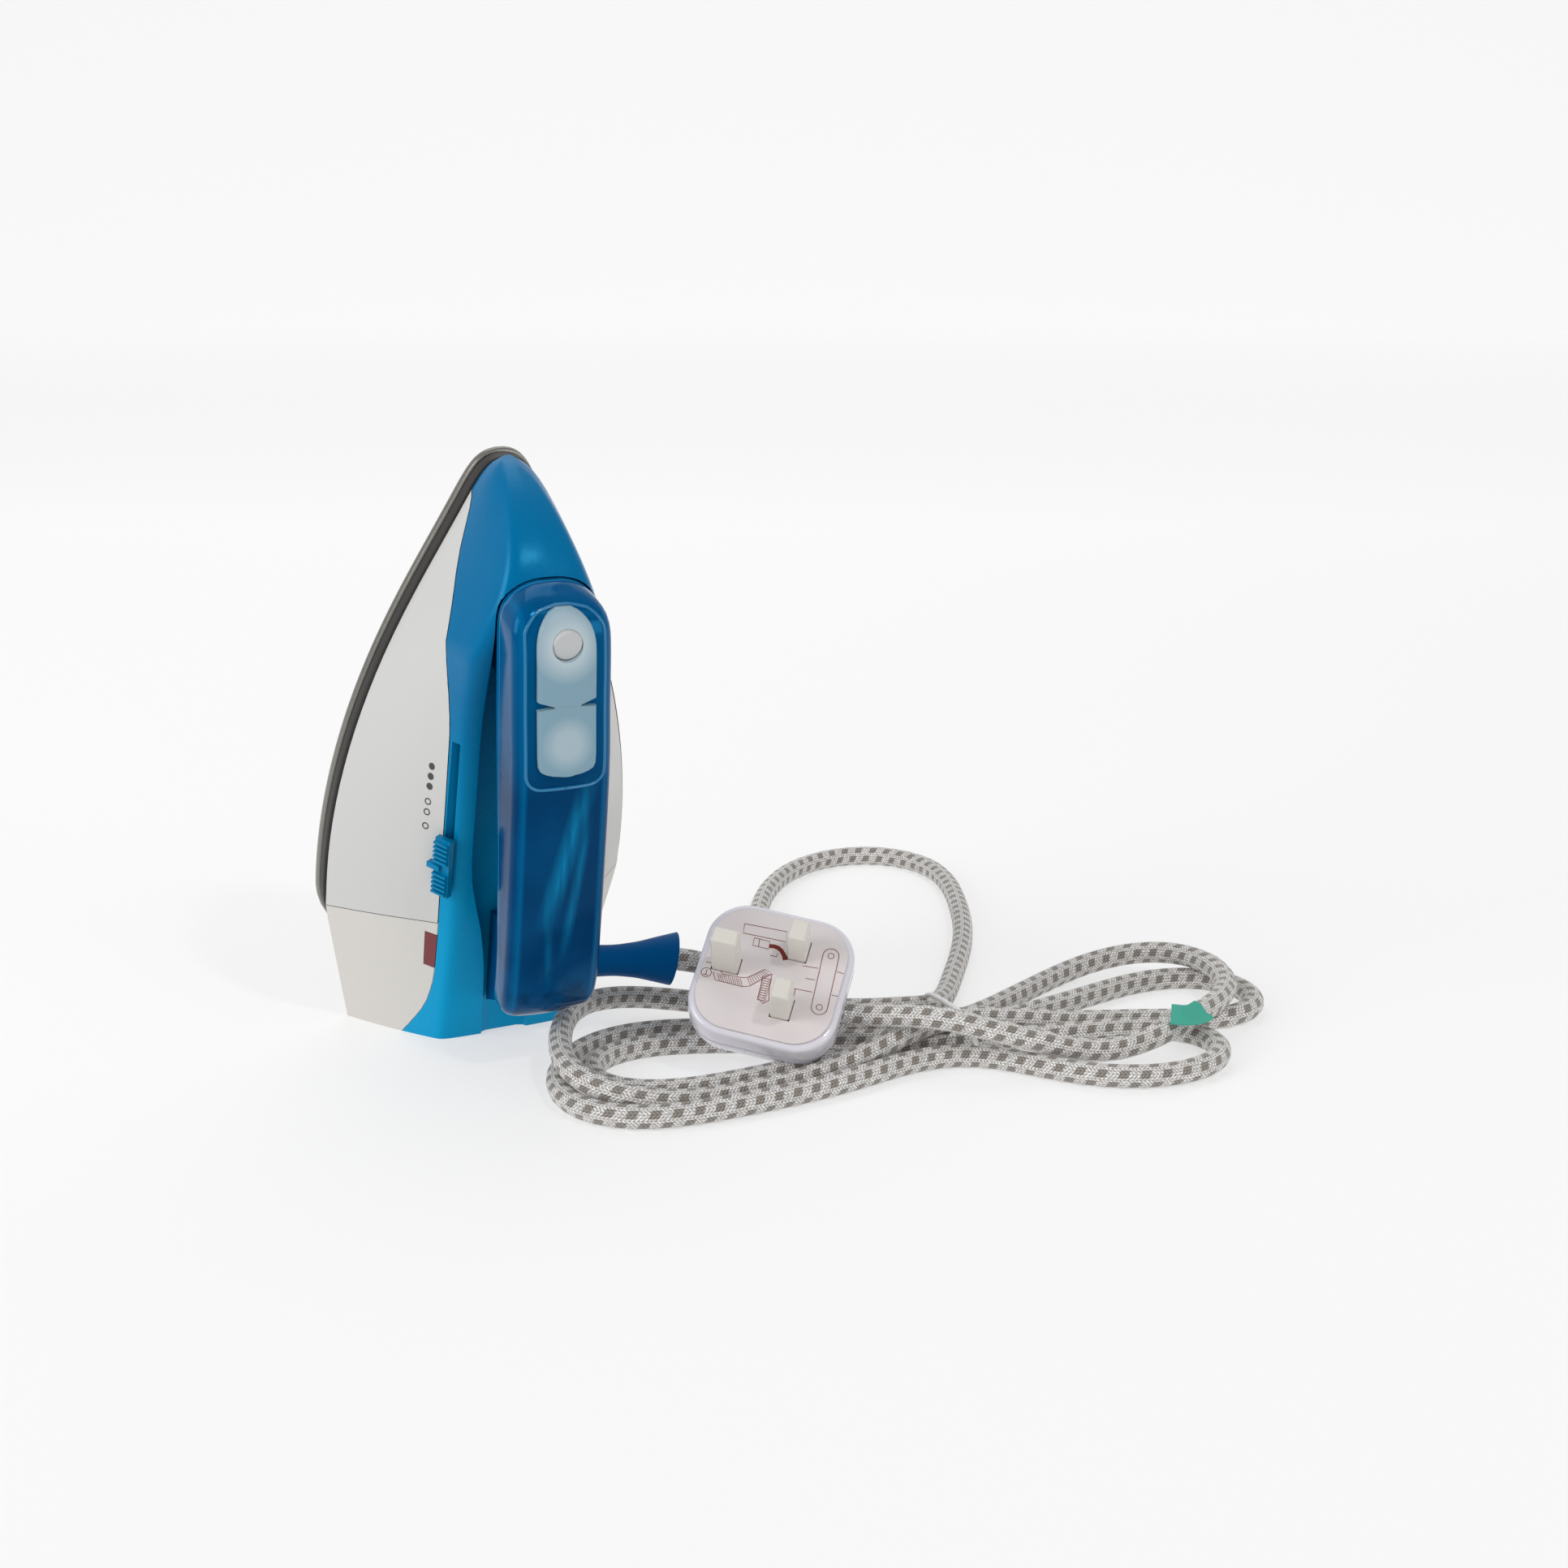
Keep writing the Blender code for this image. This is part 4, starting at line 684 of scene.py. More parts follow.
def body_ring(x, inset=0.0, base=COVER_Z):
    """The covers' section at x, or their cavity's, drawn in by an inset."""
    w = max(1.2, cover_half(x) - 1.15 * inset)
    ys = max(0.9, min(SHOULDER_Y, 0.8 * cover_half(x)) - 1.05 * inset)
    zs = shoulder_z(x) - 0.5 * inset
    top = zs + (2.5 + 1.5 * min(1.0, x / 60)) * min(1.0, math.sqrt(max(0.0, 218 - x) / 33)) - 0.5 * inset
    r = min(6.5, 0.5 * ys)
    half = [(w - 0.8, base), (w - 0.2, base + 0.3), (w, base + 1.0)]
    for i in range(1, 10):
        t = i / 10
        half.append((w + (ys - w) * t + 1.2 * math.sin(math.pi * t), base + 1 + (zs - base - 1) * t))
    for i in range(0, 9):
        a = 0.5 * math.pi * i / 8
        half.append((ys - r * (1 - math.cos(a)), zs + (top - zs) * math.sin(a)))
    half.append((0.6 * (ys - r), top + 0.25))
    half.append((0.2 * (ys - r), top + 0.4))
    for _ in range(5):
        inner = half[:3]
        for i in range(3, len(half) - 1):
            a, b, c = half[i - 1:i + 2]
            inner.append(tuple(0.25 * a[j] + 0.5 * b[j] + 0.25 * c[j] for j in (0, 1)))
        half = inner + [half[-1]]
    k = max(0.0, 1 - x / 110)
    return [(x + z * math.tan(LEAN) * k, y, z) for y, z in mirrored(half)]


def body_stops():
    stops = [0, 3, 7, 11, 15, 20, 25, 31, 38] + [44 + 7 * i for i in range(18)]
    return stops + [167, 171, 175, 179, 182, 185, 188, 191, 194, 197, 200, 203, 205.5, 208, 210, 212, 213.6,
                    215, 216.1, 217]


def trough_rings(grow=0.0):
    """Sections of the room between the covers under the handle."""
    rings = []
    stops = [(-9, 8.6, 43.9), (20, 8.6, 43.7), (42, 9.5, 42.5), (50, 10.4, 41.2), (60, 12, 39.5),
             (70, 14.4, 37.6), (80, 16.4, TROUGH_FLOOR + 2), (88, 17.0, TROUGH_FLOOR + 0.5)]
    stops += [(x, TROUGH_HALF, TROUGH_FLOOR) for x in (96, 120, 150, 170, TROUGH_END_X)]
    for t in (0.15, 0.3, 0.45, 0.58, 0.7, 0.8, 0.88, 0.94, 0.98, 0.998):
        stops.append((TROUGH_END_X + 16.3 * t, TROUGH_HALF * (1 - t**2.8) ** (1 / 2.3), TROUGH_FLOOR))
    for x, h, z in stops:
        h, z = h + grow, z - grow
        r = min(3.0, 0.5 * h)
        half = [(h - r, z), (h - 0.3 * r, z + 0.3 * r), (h, z + r), (h, 75)]
        rings.append([(x + (grow if x > TROUGH_END_X else 0), y, zz) for y, zz in mirrored(half)])
    return rings


def side_profile(profile):
    """The two ends of a prism that crosses the whole iron."""
    return [[(x, y, z) for x, z in profile] for y in (-80, 80)]


def fine_parting():
    return [(x, spline(PARTING, x)) for x in np.linspace(PARTING[0][0], 186, 40)] + [
        (188, 23), (192, 20), (197, 16.8), (202, 13.5), (204.5, 11), (206.5, 7.5)]


def regions():
    """The three covers' shares of the body, seen from the side, a hair apart."""
    t = math.tan(LEAN)
    line = fine_parting()
    g = 0.15
    seam = [(x, z) for x, z in line if x - z * t > SEAM_OFFSET]
    heel = [(x, z) for x, z in line if x - z * t < SEAM_OFFSET]
    cross = ((seam[0][0] + heel[-1][0]) / 2, (seam[0][1] + heel[-1][1]) / 2)
    skirt = [(SEAM_OFFSET - 6 * t + g, -6), (cross[0] + g, cross[1] - g)]
    skirt += [(x - g, z - g) for x, z in seam] + [(line[-1][0] - g, -6)]
    rear = [(-6 * t - 1, -6), (heel[0][1] * t - 1, heel[0][1] - g)] + [(x, z - g) for x, z in heel]
    rear += [(cross[0] - g, cross[1] - g), (SEAM_OFFSET - 6 * t - g, -6)]
    top = [(line[0][1] * t - 1, line[0][1] + g)] + [(x + g, z + g) for x, z in line]
    top += [(line[-1][0] + g, -6), (NOSE_X + 4, -6), (NOSE_X + 4, 70), (-8, 70)]
    return {"side_skirt": skirt, "rear_cover": rear, "top_cover": top}


def flank_box(x0, x1, y, z, across, deep, shift=0.0):
    """Sections of a box lying on the left flank."""
    normal, slope = Vector((0, 0.84, 0.545)), Vector((0, -0.545, 0.84))
    centre = Vector((0, y, z)) + normal * shift
    rings = []
    for x in (x0, x1):
        ring = [centre + slope * (a * across / 2) + normal * (b * deep / 2)
                for a, b in ((-1, -1), (1, -1), (1, 1), (-1, 1))]
        rings.append([(x, p.y, p.z) for p in ring])
    return rings


def block(x, y, z):
    """The two ends of a plain block, from its spans."""
    return [[(a, y[0], z[0]), (a, y[1], z[0]), (a, y[1], z[1]), (a, y[0], z[1])] for a in x]


def ring_points(x, y, r, z0, z1, count):
    """The two ends of an upright round bar."""
    return [[(x + r * math.cos(a), y + r * math.sin(a), z) for a in circle(count)] for z in (z0, z1)]


def covers(looks):
    """The skirt, rear cover and top cover as one hollow body cut along its partings, and the lens."""
    stops = body_stops()
    cavity = loft("cavity", [body_ring(x, WALL, COVER_Z + WALL) for x in (2.8, 15, 25, 36, 39)]
                  + [body_ring(x, WALL, COVER_Z - 6) for x in [41.5] + [x for x in stops if 44 < x < 210]])
    wall = loft("wall", trough_rings(WALL))
    cut_out(cavity, [wall])
    trough = loft("trough", trough_rings())
    wall_clear = loft("wall_clear", trough_rings(WALL + 0.3))
    profiles = regions()
    slot = loft("slot", block((75.5, 133.2), (18.8, 34), (42.7, 45.3)))
    window = loft("window", flank_box(*LENS_X, *LENS_AT, 7.0, 16))
    for name, profile in profiles.items():
        cut = loft(name + "_cut", side_profile(profile))
        steps = [("DIFFERENCE", cavity), ("DIFFERENCE", trough)]
        if name == "top_cover":
            carve(cut, [("UNION", wall)])
            steps += [("INTERSECT", cut), ("DIFFERENCE", slot)]
        else:
            steps += [("DIFFERENCE", wall_clear), ("INTERSECT", cut)]
        if name == "rear_cover":
            steps.append(("DIFFERENCE", window))
        obj = loft(name + "_shell", [body_ring(x) for x in stops], material=looks[name])
        carve(obj, steps, 30)
        claim(obj, name, slot="blue" if name == "top_cover" else "white")
        drop(cut)
    keep = loft("lens_keep", flank_box(LENS_X[0] + 0.3, LENS_X[1] - 0.3, *LENS_AT, 6.4, 15))
    under = loft("lens_under", side_profile(profiles["rear_cover"]))
    lens = loft("lens_shell", [body_ring(x) for x in stops], material=looks["pilot_lens"])
    carve(lens, [("DIFFERENCE", cavity), ("INTERSECT", keep), ("INTERSECT", under)], 30)
    claim(lens, "pilot_lens", slot="red")
    drop(cavity, wall, trough, wall_clear, slot, window, keep, under)


TANK_FRONT_X, TANK_TIP_X, TANK_REAR_X, TANK_HALF = 178.0, 193.8, 60.0, 16.6


def tank_half(x):
    """Half the handle's width at x."""
    half = TANK_HALF
    if x > TANK_FRONT_X:
        u = min(0.999, (x - TANK_FRONT_X) / (TANK_TIP_X - TANK_FRONT_X))
        half *= (1 - u**2.8) ** (1 / 2.3)
    if x < TANK_REAR_X:
        half *= (1 - ((TANK_REAR_X - x) / (TANK_REAR_X - 45.2)) ** 5.0) ** 0.5
    return half


def tank_ring(x, inset=0.0, low=0.0):
    """The tank's section at x, or its room's, drawn in by an inset and with a lower rim."""
    half = max(0.8, tank_half(x) - inset)
    rim = spline(HANDLE_RIM, x) - low
    top = max(spline(HANDLE_TOP, x) - inset, rim + 0.6)
    r = min(4.2, 0.55 * (top - rim), 0.7 * half)
    loop = [(half - 0.5, rim), (half, rim + 0.5), (half + 0.15, 0.5 * (rim + top - r)), (half, top - r)]
    for i in range(1, 8):
        a = 0.5 * math.pi * i / 8
        loop.append((half - r * (1 - math.cos(a)), top - r + r * math.sin(a)))
    loop += [(half - r, top), (0.5 * (half - r), top + 0.45), (0.15 * (half - r), top + 0.6)]
    return [(x, y, z) for y, z in mirrored(loop)]


def tank(looks):
    """The tank's shell with its filling hole and button well, and the raised line round the panel."""
    stops = [45.5, 45.9, 46.4, 47.0, 47.7, 49, 51, 53.5, 56.5, 60] + [66 + 7 * i for i in range(16)]
    stops += [174.5, 178, 181, 183.5, 186, 188, 189.8, 191.2, 192.3, 193.1, 193.6]
    shell = loft("tank_body", [tank_ring(x) for x in stops], material=looks["tank_shell"])
    room_stops = (47, 49, 53, 60, 70, 85, 100, 120, 138, 152, 163, 172)
    inner = loft("tank_room", [tank_ring(x, 1.8, 1.5) for x in room_stops])
    top = spline(HANDLE_TOP, FILL_X)
    fill = loft("fill_hole", block((143, 155.5), (-6, 6), (top - 8, top + 8)))
    well = loft("well", ring_points(BUTTON_X, 0, 5.7, 40, 90, 32))
    cut_out(shell, [inner, fill, well], 40)
    drop(inner, fill, well)
    claim(shell, "tank_shell", slot="tank")

    corner = [(134 + 5 * (1 - math.cos(a)), 8.2 + 5 * math.sin(a)) for a in np.linspace(0.0, math.pi / 2, 8)]
    side = [(x, min(13.2, tank_half(x + 2.2) - 2.4)) for x in np.linspace(141, 189.4, 36)]
    half = [(134, y) for y in (0, 3, 6)] + corner + side + [(190.2, 4.5), (190.6, 2.0)]
    loop = half + [(x, -y) for x, y in reversed(half)]
    line = []
    for x, y in loop + loop[:1]:
        z = spline(HANDLE_TOP, x) + 0.65 - 0.06 * max(0.0, abs(y) - 4) ** 1.25
        line.append(tuple(STAND @ Vector((x, y, z))))
    outline, _ = tube("panel_frame", evenly(np.array(line), 0.001), 0.0006, 8)
    claim(painted(outline, looks["tank_line"]), slot="tank")


def panel_rings(stops):
    """Sections of the frosted panel, each (x, half width), lying on the tank's top."""
    thick = 1.6
    rings = []
    for x, half in stops:
        z = spline(HANDLE_TOP, x) + 0.5
        ring = [(half, z), (half, z + 0.5 * thick), (half - 0.25, z + 0.85 * thick), (half - 0.8, z + thick),
                (0.5 * half, z + thick + 0.25), (0.15 * half, z + thick + 0.35)]
        rings.append([(x, y, h) for y, h in mirrored(ring)])
    return rings


def panel(looks):
    """The panel's fixed front with the button's hole, and the flap behind the two notches."""
    front = [(x, PANEL_HALF) for x in (160.98, 163, 168, 174, 178)]
    for i in range(1, 13):
        u = i / 12.3
        front.append((178 + 12.6 * u, PANEL_HALF * (1 - u**2.3) ** (1 / 2.1)))
    rear = [(x, PANEL_HALF) for x in (160.94, 156, 150, 145)]
    rear += [(x, PANEL_HALF - less) for x, less in ((142, 0.2), (140.6, 0.9), (139.8, 2.2), (139.1, 4.4))]
    rear.append((138.7, 2.5))
    hole = loft("button_room", ring_points(BUTTON_X, 0, 5.06, 55, 90, 48))
    notches = []
    for side in (-1, 1):
        z = spline(HANDLE_TOP, 161)
        ring = [(160.2, side * 11), (163.4, side * 11), (161.3, side * 4.4), (160.8, side * 4.4)]
        notches.append(loft("notch", [[(x, y, h) for x, y in ring] for h in (z - 3, z + 6)]))
    top = loft("panel_front", panel_rings(front), material=looks["button_cover"])
    cut_out(top, [hole] + notches, 35)
    claim(top, "button_cover", slot="frost")
    flap = loft("panel_flap", panel_rings(rear), material=looks["fill_flap"])
    cut_out(flap, notches, 35)
    claim(flap, "fill_flap", slot="frost", body="flap")
    drop(hole, *notches)


def soles(looks):
    """The soleplate with its steam vents, and the dark band above it."""
    sole = plate("sole_plate", 0.0, 0.0, 3.2, 0.9, looks["soleplate"])
    vents = [loft("vent", ring_points(x, y, 1.4, -2, 6, 20))
             for x, y in ((83, -8), (90, -3), (90, -13), (98, -3), (98, -13), (105, -8))]
    cut_out(sole, vents, 28)
    claim(sole, "soleplate", slot="sole_metal")
    shield = plate("shield_band", 0.7, 3.4, 7.8, 0.5, looks["heat_shield"])
    room = loft("shield_room", [[(x, y, z) for x, y in sole_outline(16.0, rear=58)] for z in (0, 12)])
    cut_out(shield, [room], 28)
    claim(shield, "heat_shield", slot="charcoal")
    drop(room, *vents)


def slider(looks):
    """The slider's knob with its ribs and pointer, and the neck that goes down through the slot."""
    y, z = 25.0, 44.9
    knob = loft("slider_knob", flank_box(76, 98, y, z, 6.4, 2.4, 1.6), material=looks["temperature_slider"])
    added = []
    for i in range(10):
        x = 77.4 + i * 1.75 + (3.4 if i > 4 else 0)
        added.append(loft("rib", flank_box(x - 0.45, x + 0.45, y, z, 5.8, 1.8, 3.3)))
    added.append(loft("pointer", flank_box(86, 88, y + 1.5, z - 2.2, 5.2, 2.8, 2.6)))
    added.append(loft("neck", block((78, 96), (20.6, 26.0), (43.1, 44.9))))
    carve(knob, [("UNION", a) for a in added], 35, 0.25)
    claim(knob, "temperature_slider", slot="blue", body="slider")
    drop(*added)


# ---- guard, plug, tie and tag
GUARD_ROOT, GUARD_TIP = Vector((42.5, 8.4, 31.0)), Vector((53.7, 51.0, 29.0))


def turned(name, a, b, profile, sides, material, slant=0.0):
    """A turned piece from a to b, in millimetres; its end may be cut on a slant."""
    axis = (b - a).normalized()
    side = axis.cross(Vector((0, 0, 1))).normalized()
    up = side.cross(axis)
    length = profile[-1][0]
    rings = []
    for along, radius in profile:
        ring = []
        for angle in circle(sides):
            tip = float(slant * math.sin(angle) * max(0.0, along / length) ** 4)
            ring.append(tuple(a + axis * float(along + tip)
                              + float(radius) * (side * math.cos(angle) + up * math.sin(angle))))
        rings.append(ring)
    return loft(name, rings, Matrix.Scale(MM, 4), material)


def guard(looks):
    """The waisted sleeve round the flex, flared and hollow at its mouth."""
    n = (GUARD_TIP - GUARD_ROOT).length
    waist = ((0, 6.6), (0.06, 6.3), (0.3, 5.7), (0.5, 5.4), (0.68, 6.1), (0.86, 7.8), (1.0, 9.2))
    out = [(t * n, spline(waist, t)) for t in np.linspace(0, 1, 30)]
    sleeve = turned("guard_sleeve", GUARD_ROOT, GUARD_TIP, out, 48, looks["cord_guard"], 1.6)
    axis = (GUARD_TIP - GUARD_ROOT).normalized()
    mouth = turned("mouth", GUARD_TIP - axis * 14, GUARD_TIP + axis * 4,
                   ((0, 3.95), (4, 3.95), (8, 5.3), (14, 7.9), (18, 9.4)), 48, None)
    cut_out(sleeve, [mouth], 35)
    drop(mouth)
    claim(sleeve, "cord_guard", slot="guard")


PLUG_HALF_X, PLUG_HALF_Y, PLUG_CORNER = 25.5, 25.0, 14.0


def plug_ring(k, z):
    """The plug's rounded outline at k times its size."""
    ring = []
    for quarter, (sx, sy) in enumerate(((1, 1), (-1, 1), (-1, -1), (1, -1))):
        for i in range(14):
            a = math.pi / 2 * (quarter + i / 13)
            ring.append((k * (sx * (PLUG_HALF_X - PLUG_CORNER) + PLUG_CORNER * math.cos(a)),
                         k * (sy * (PLUG_HALF_Y - PLUG_CORNER) + PLUG_CORNER * math.sin(a)), z))
    return ring


PRINT = (
    ((-19.2, -4.0), (-17.7, -6.7), (-8.5, -6.8), (-6.0, -5.9), (0.0, 0.4), (-2.7, 1.4), (-7.5, -3.0),
     (-9.4, -3.6), (-16.0, -3.9), (-16.9, -2.9)),
    ((-2.8, -1.5), (0.0, 0.4), (0.4, -4.2), (1.5, -9.4), (0.0, -11.0), (-2.2, -9.6), (-2.4, -4.9),
     (-2.8, -1.5)),
    ((-13.9, 16.4), (0.8, 17.1), (1.3, 13.3), (-13.4, 12.8), (-13.9, 16.4)),
    ((-9.3, 12.0), (-3.9, 12.0), (-3.5, 9.1), (-9.1, 9.1), (-9.3, 12.0)),
    ((-7.4, 11.9), (-7.1, 9.2)),
    ((-2.5, 7.0), (-0.1, 7.0), (-0.2, 8.4)),
    ((9.1, 6.0), (14.4, 6.4)), ((11.3, 1.7), (14.5, 1.9)), ((8.3, -3.0), (14.7, -2.7)),
    ((9.0, -3.0), (9.2, -6.5)), ((20.8, 6.8), (23.2, 6.6)), ((21.3, -2.1), (23.3, -2.0)),
    ((-22.6, -0.9), (-18.7, -0.8)), ((-19.4, 1.1), (-18.7, -3.1)), ((-17.8, 1.1), (-16.9, -2.9)),
    ((-17.2, 0.1), (-13.0, 0.2), (-13.0, -1.5)), ((-21.4, -3.6), (-21.4, -5.6)),
    ((-22.3, -5.6), (-20.5, -5.6)),
)


def printed(looks, z):
    """The card's wiring diagram as thin ink lines, with its hatching, cord clamp and earth mark."""
    lines = [(p, 0.22) for p in PRINT]
    lines.append((((-3.6, 10.3), (-2.0, 10.6), (-0.6, 10.4), (0.8, 9.6), (2.0, 8.3), (2.9, 6.5)), 1.5))
    for i in range(12):
        x = -17.6 + 0.72 * i
        lines.append((((x, -4.1), (x + 1.3, -6.6)), 0.16))
    for i in range(9):
        t = i / 9
        lines.append((((-7.6 + 4.9 * t, -3.1 + 4.3 * t), (-5.8 + 5.6 * t, -5.6 + 5.9 * t)), 0.16))
    for i in range(10):
        y = -1.6 - 0.9 * i
        lines.append((((-2.5, y), (0.6, y - 0.5)), 0.14))
        lines.append((((-2.5, y - 0.5), (0.6, y + 0.1)), 0.14))
    for u, v, r in ((-21.4, -4.7, 1.7), (17.4, 12.0, 1.0), (18.4, -7.5, 1.0)):
        turn = np.linspace(0, 2 * math.pi, 25)
        round_mark = tuple((u + r * math.cos(a), v + r * math.sin(a)) for a in turn)
        lines.append((round_mark, 0.2))
    clamp = []
    for (u, v), first in (((17.4, 12.0), 3.0), ((18.4, -7.5), 183.0)):
        clamp += [(u + 2.7 * math.cos(math.radians(a)), v + 2.7 * math.sin(math.radians(a)))
                  for a in np.linspace(first, first + 180, 15)]
    lines.append((tuple(clamp + clamp[:1]), 0.22))
    bm = bmesh.new()
    for points, wide in lines:
        pts = [Vector(p) for p in points]
        sides = []
        for i, p in enumerate(pts):
            along = (pts[min(i + 1, len(pts) - 1)] - pts[max(i - 1, 0)]).normalized()
            off = Vector((-along.y, along.x)) * wide / 2
            sides.append([bm.verts.new(PLUG_MM @ Vector((*(p + k * off), z))) for k in (-1, 1)])
        for (a, b), (c, d) in zip(sides, sides[1:]):
            bm.faces.new((a, b, d, c))
    ink = painted(placed("card_print", bm), looks["ink"])
    claim(ink, slot="card")
    return ink


PINS = (("earth_pin", (-15.7, 0.0), (9.0, 5.6), 21.5), ("live_pin", (6.5, 11.1), (6.4, 7.6), 16.5),
        ("neutral_pin", (6.5, -11.1), (6.4, 7.6), 16.5))


def plug(looks):
    """The plug's front with its card, the domed back and the sleeved pins."""
    front = ((0.9, -7.95), (0.96, -7.9), (0.998, -7.3), (1, -6.4), (1, -1.9), (0.996, -1.2),
             (0.985, -0.6), (0.965, -0.15), (0.93, 0.0))
    label = ((0.915, 0.3), (0.915, 0.7), (0.912, 0.8))
    dome = ((1.0, -8.2), (0.998, -9.0), (0.99, -10.6), (0.97, -13), (0.93, -15.4), (0.87, -17.4),
            (0.79, -18.9), (0.68, -19.8), (0.6, -20.0))
    pieces = []
    for name, rings, node in (("plug_front", front, "plug_base"), ("plug_label", label, "plug_card"),
                              ("plug_back", dome, "plug_cover")):
        pieces.append(loft(name, [plug_ring(k, z) for k, z in rings], PLUG_MM, looks[node]))
    base, card, cover = pieces
    holes = []
    for name, (x, y), (dx, dy), length in PINS:
        rings = []
        for k, z in ((0, -7), (0, length - 1.2), (0.35, length - 0.4), (0.8, length)):
            a, b, c = dx / 2 - k, dy / 2 - k, 0.5
            right = [(a - c, -b), (a, c - b), (a, b - c), (a - c, b)]
            rings.append([(x + p, y + q, z) for p, q in right + [(-p, -q) for p, q in right]])
        pin = carve(loft(name + "_cap", rings, PLUG_MM, looks[name]), [], 30)
        claim(pin, name, slot="pin")
        pieces.append(pin)
        u, v = dx / 2 + 0.3, dy / 2 + 0.3
        grown = [[(x + p, y + q, z) for p, q in ((u, v), (-u, v), (-u, -v), (u, -v))] for z in (-12, 5)]
        holes.append(loft("hole", grown, PLUG_MM))
    cut_out(base, holes, 40)
    cut_out(card, holes, 40)
    exit_hole = [[(x, 4.1 * math.cos(a), PLUG_CORD_Z + 4.1 * math.sin(a)) for a in circle(32)]
                 for x in (12, 40)]
    holes.append(loft("exit_hole", exit_hole, PLUG_MM))
    cut_out(cover, holes[-1:], 40)
    drop(*holes)
    claim(base, "plug_base", slot="clear")
    claim(card, "plug_card", slot="card")
    claim(cover, "plug_cover", slot="clear")
    pieces.append(printed(looks, 0.86))
    return pieces


def tie_and_tag(looks):
    """The wire tie round the hank's waist with its two twisted ends, and the folded tag on a strand."""
    loop = ((88.2, 4.0), (88.6, 9.5), (93, 15.0), (100, 16.2), (108, 16.4), (115.5, 15.8), (121.5, 11.5),
            (125.5, 8.4), (127.4, 4.2), (125, 0.7), (108, 0.5), (91, 0.5), (88.2, 4.0))
    path = evenly(catmull([(x, 131.0, z) for x, z in loop], 0.8), 0.8) * MM
    tie, _ = tube("tie_band", path, 0.0009, 10)
    claim(painted(tie, looks["cord_tie"]), "cord_tie", slot="tie")
    ends = []
    for twist in (0, math.pi):
        spiral = []
        for i in range(14):
            a = 1.3 * i + twist
            x, y = 118.5 + 0.35 * i + 0.8 * math.cos(a), 129.6 - 0.5 * i + 0.8 * math.sin(a)
            spiral.append((x, y, 15.2 - 0.25 * i))
        end, _ = tube("tie_end", evenly(catmull(spiral, 0.4), 0.4) * MM, 0.0005, 8)
        claim(painted(end, looks["cord_tie"]), slot="tie")
        ends.append(end)
    centre = catmull([(149, 194, 15.7), (151.6, 197.5, 15.6), (152.2, 202, 15.4), (151, 206.5, 15.9)], 0.6)
    rings = []
    for i, p in enumerate(centre):
        along = centre[min(i + 1, len(centre) - 1)] - centre[max(i - 1, 0)]
        along /= np.linalg.norm(along)
        across = np.array((along[1], -along[0], -0.5))
        lift = 0.3 * math.sin(0.28 * i)
        ring = []
        for v, h in ((-4.2, 0), (-1.5, 0.8 + lift), (1.0, -0.3 + 0.5 * lift), (4.2, 0.4)):
            ring.append(p + across * v + np.array((0, 0, h + 0.4)))
        ring += [q - np.array((0, 0, 0.45)) for q in reversed(ring)]
        rings.append([tuple(q) for q in ring])
    tag = carve(loft("tag_strip", rings, Matrix.Scale(MM, 4), looks["cord_tag"]), [], 60)
    claim(tag, "cord_tag", slot="tag")
    return [tie, tag] + ends


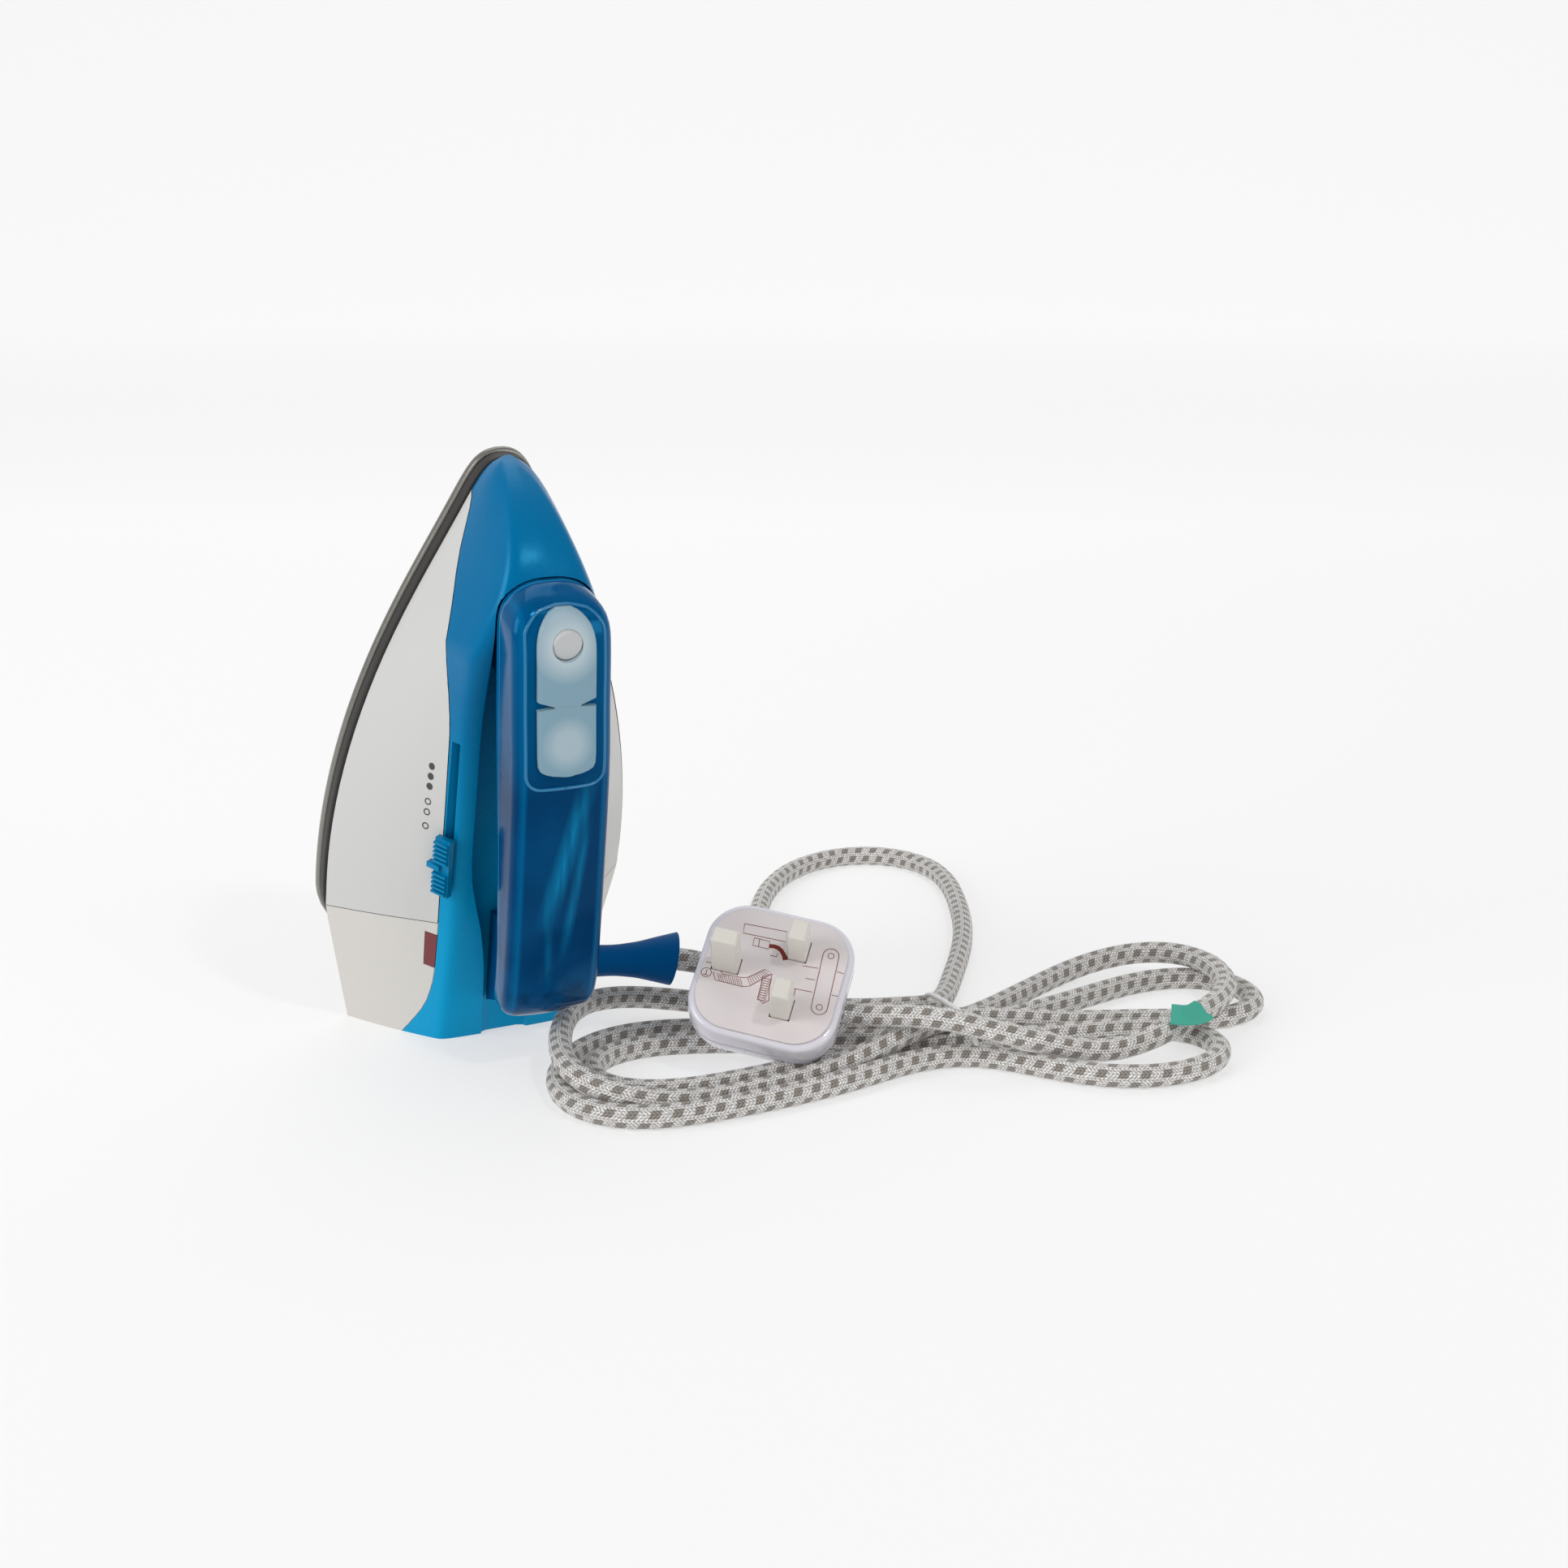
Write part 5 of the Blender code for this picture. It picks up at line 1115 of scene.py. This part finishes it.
# ---- materials of all the nodes
def dress_all():
    """Every node's material, put on the nodes."""
    navy = plastic("grip_navy", srgb(0, 66, 114), 0.35, mottle=0.04, spec=0.4).tint(srgb(60, 180, 235))
    frost = frost_material()
    looks = {
        "soleplate": sole_material(),
        "heat_shield": plastic("shield_charcoal", srgb(50, 48, 46), 0.5),
        "side_skirt": skirt_material(),
        "rear_cover": plastic("rear_white", srgb(207, 204, 199), 0.42, mottle=0.012),
        "top_cover": cover_material(),
        "pilot_lens": plastic("lens_red", srgb(112, 22, 28), 0.15, coat=0.6),
        "tank_shell": tank_material(),
        "tank_base": navy,
        "handle_grip": navy,
        "cord_guard": plastic("guard_blue", srgb(0, 72, 128), 0.5, mottle=0.03, spec=0.3),
        "button_cover": frost,
        "fill_flap": frost,
        "steam_button": plastic("button_white", srgb(188, 190, 191), 0.5),
        "temperature_slider": plastic("slider_blue", srgb(0, 120, 166), 0.3, mottle=0.03, spec=0.4),
        "fill_seal": plastic("silicone", srgb(225, 225, 222), 0.6),
        "feed_tube": plastic("tube_silicone", srgb(225, 225, 222), 0.4),
        "thermostat_body": plastic("ceramic_body", srgb(222, 216, 204), 0.6),
        "plug_fuse": plastic("ceramic_fuse", srgb(222, 216, 204), 0.6),
        "pilot_lamp": plastic("lamp_glass", srgb(230, 140, 90), 0.1, coat=0.5),
        "bimetal_strip": metal("bimetal", srgb(196, 140, 104), 0.35),
        "live_lead": plastic("wire_brown", srgb(98, 58, 34), 0.5),
        "neutral_lead": plastic("wire_blue", srgb(40, 92, 170), 0.5),
        "earth_lead": plastic("wire_green", srgb(110, 160, 40), 0.5),
        "cord_tie": plastic("tie_clear", srgb(225, 225, 225), 0.25),
        "cord_tag": plastic("tag_green", srgb(60, 160, 140), 0.5, mottle=0.1),
        "plug_base": plastic("plug_milk", srgb(216, 213, 221), 0.15, coat=0.4, mottle=0.04),
        "plug_cover": plastic("plug_back", srgb(214, 212, 222), 0.15, coat=0.4, mottle=0.05),
        "plug_card": plastic("card_paper", srgb(214, 206, 206), 0.45, mottle=0.02),
        "tank_line": plastic("tank_line", srgb(0, 108, 158), 0.2, coat=0.4),
        "ink": plastic("ink_red", srgb(118, 44, 36), 0.6, spec=0.2),
    }
    looks["cord_guard"].tint(srgb(60, 180, 235))
    looks["temperature_slider"].tint(srgb(60, 190, 240))
    shared = (
        (metal("steel", srgb(180, 182, 184), 0.3),
         "heating_element steam_chamber_lid lid_screw_a lid_screw_b pump_spring contact_stud thermal_fuse"),
        (metal("brass", srgb(200, 165, 95), 0.35),
         "element_terminal_left element_terminal_right contact_blade"
         " terminal_screw_a terminal_screw_b terminal_screw_c"),
        (plastic("nylon", srgb(222, 220, 212), 0.5),
         "thermostat_pinion pump_plunger pump_cylinder terminal_block"),
        (plastic("pin_cap", srgb(212, 208, 200), 0.3), "earth_pin live_pin neutral_pin"),
    )
    for look, names in shared:
        looks.update(dict.fromkeys(names.split(), look))
    for name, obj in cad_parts.items():
        if name in looks:
            painted(obj, looks[name])
    return looks


looks = dress_all()
covers(looks)
tank(looks)
panel(looks)
soles(looks)
slider(looks)
guard(looks)
on_cord = plug(looks) + tie_and_tag(looks) + [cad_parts["plug_fuse"]]
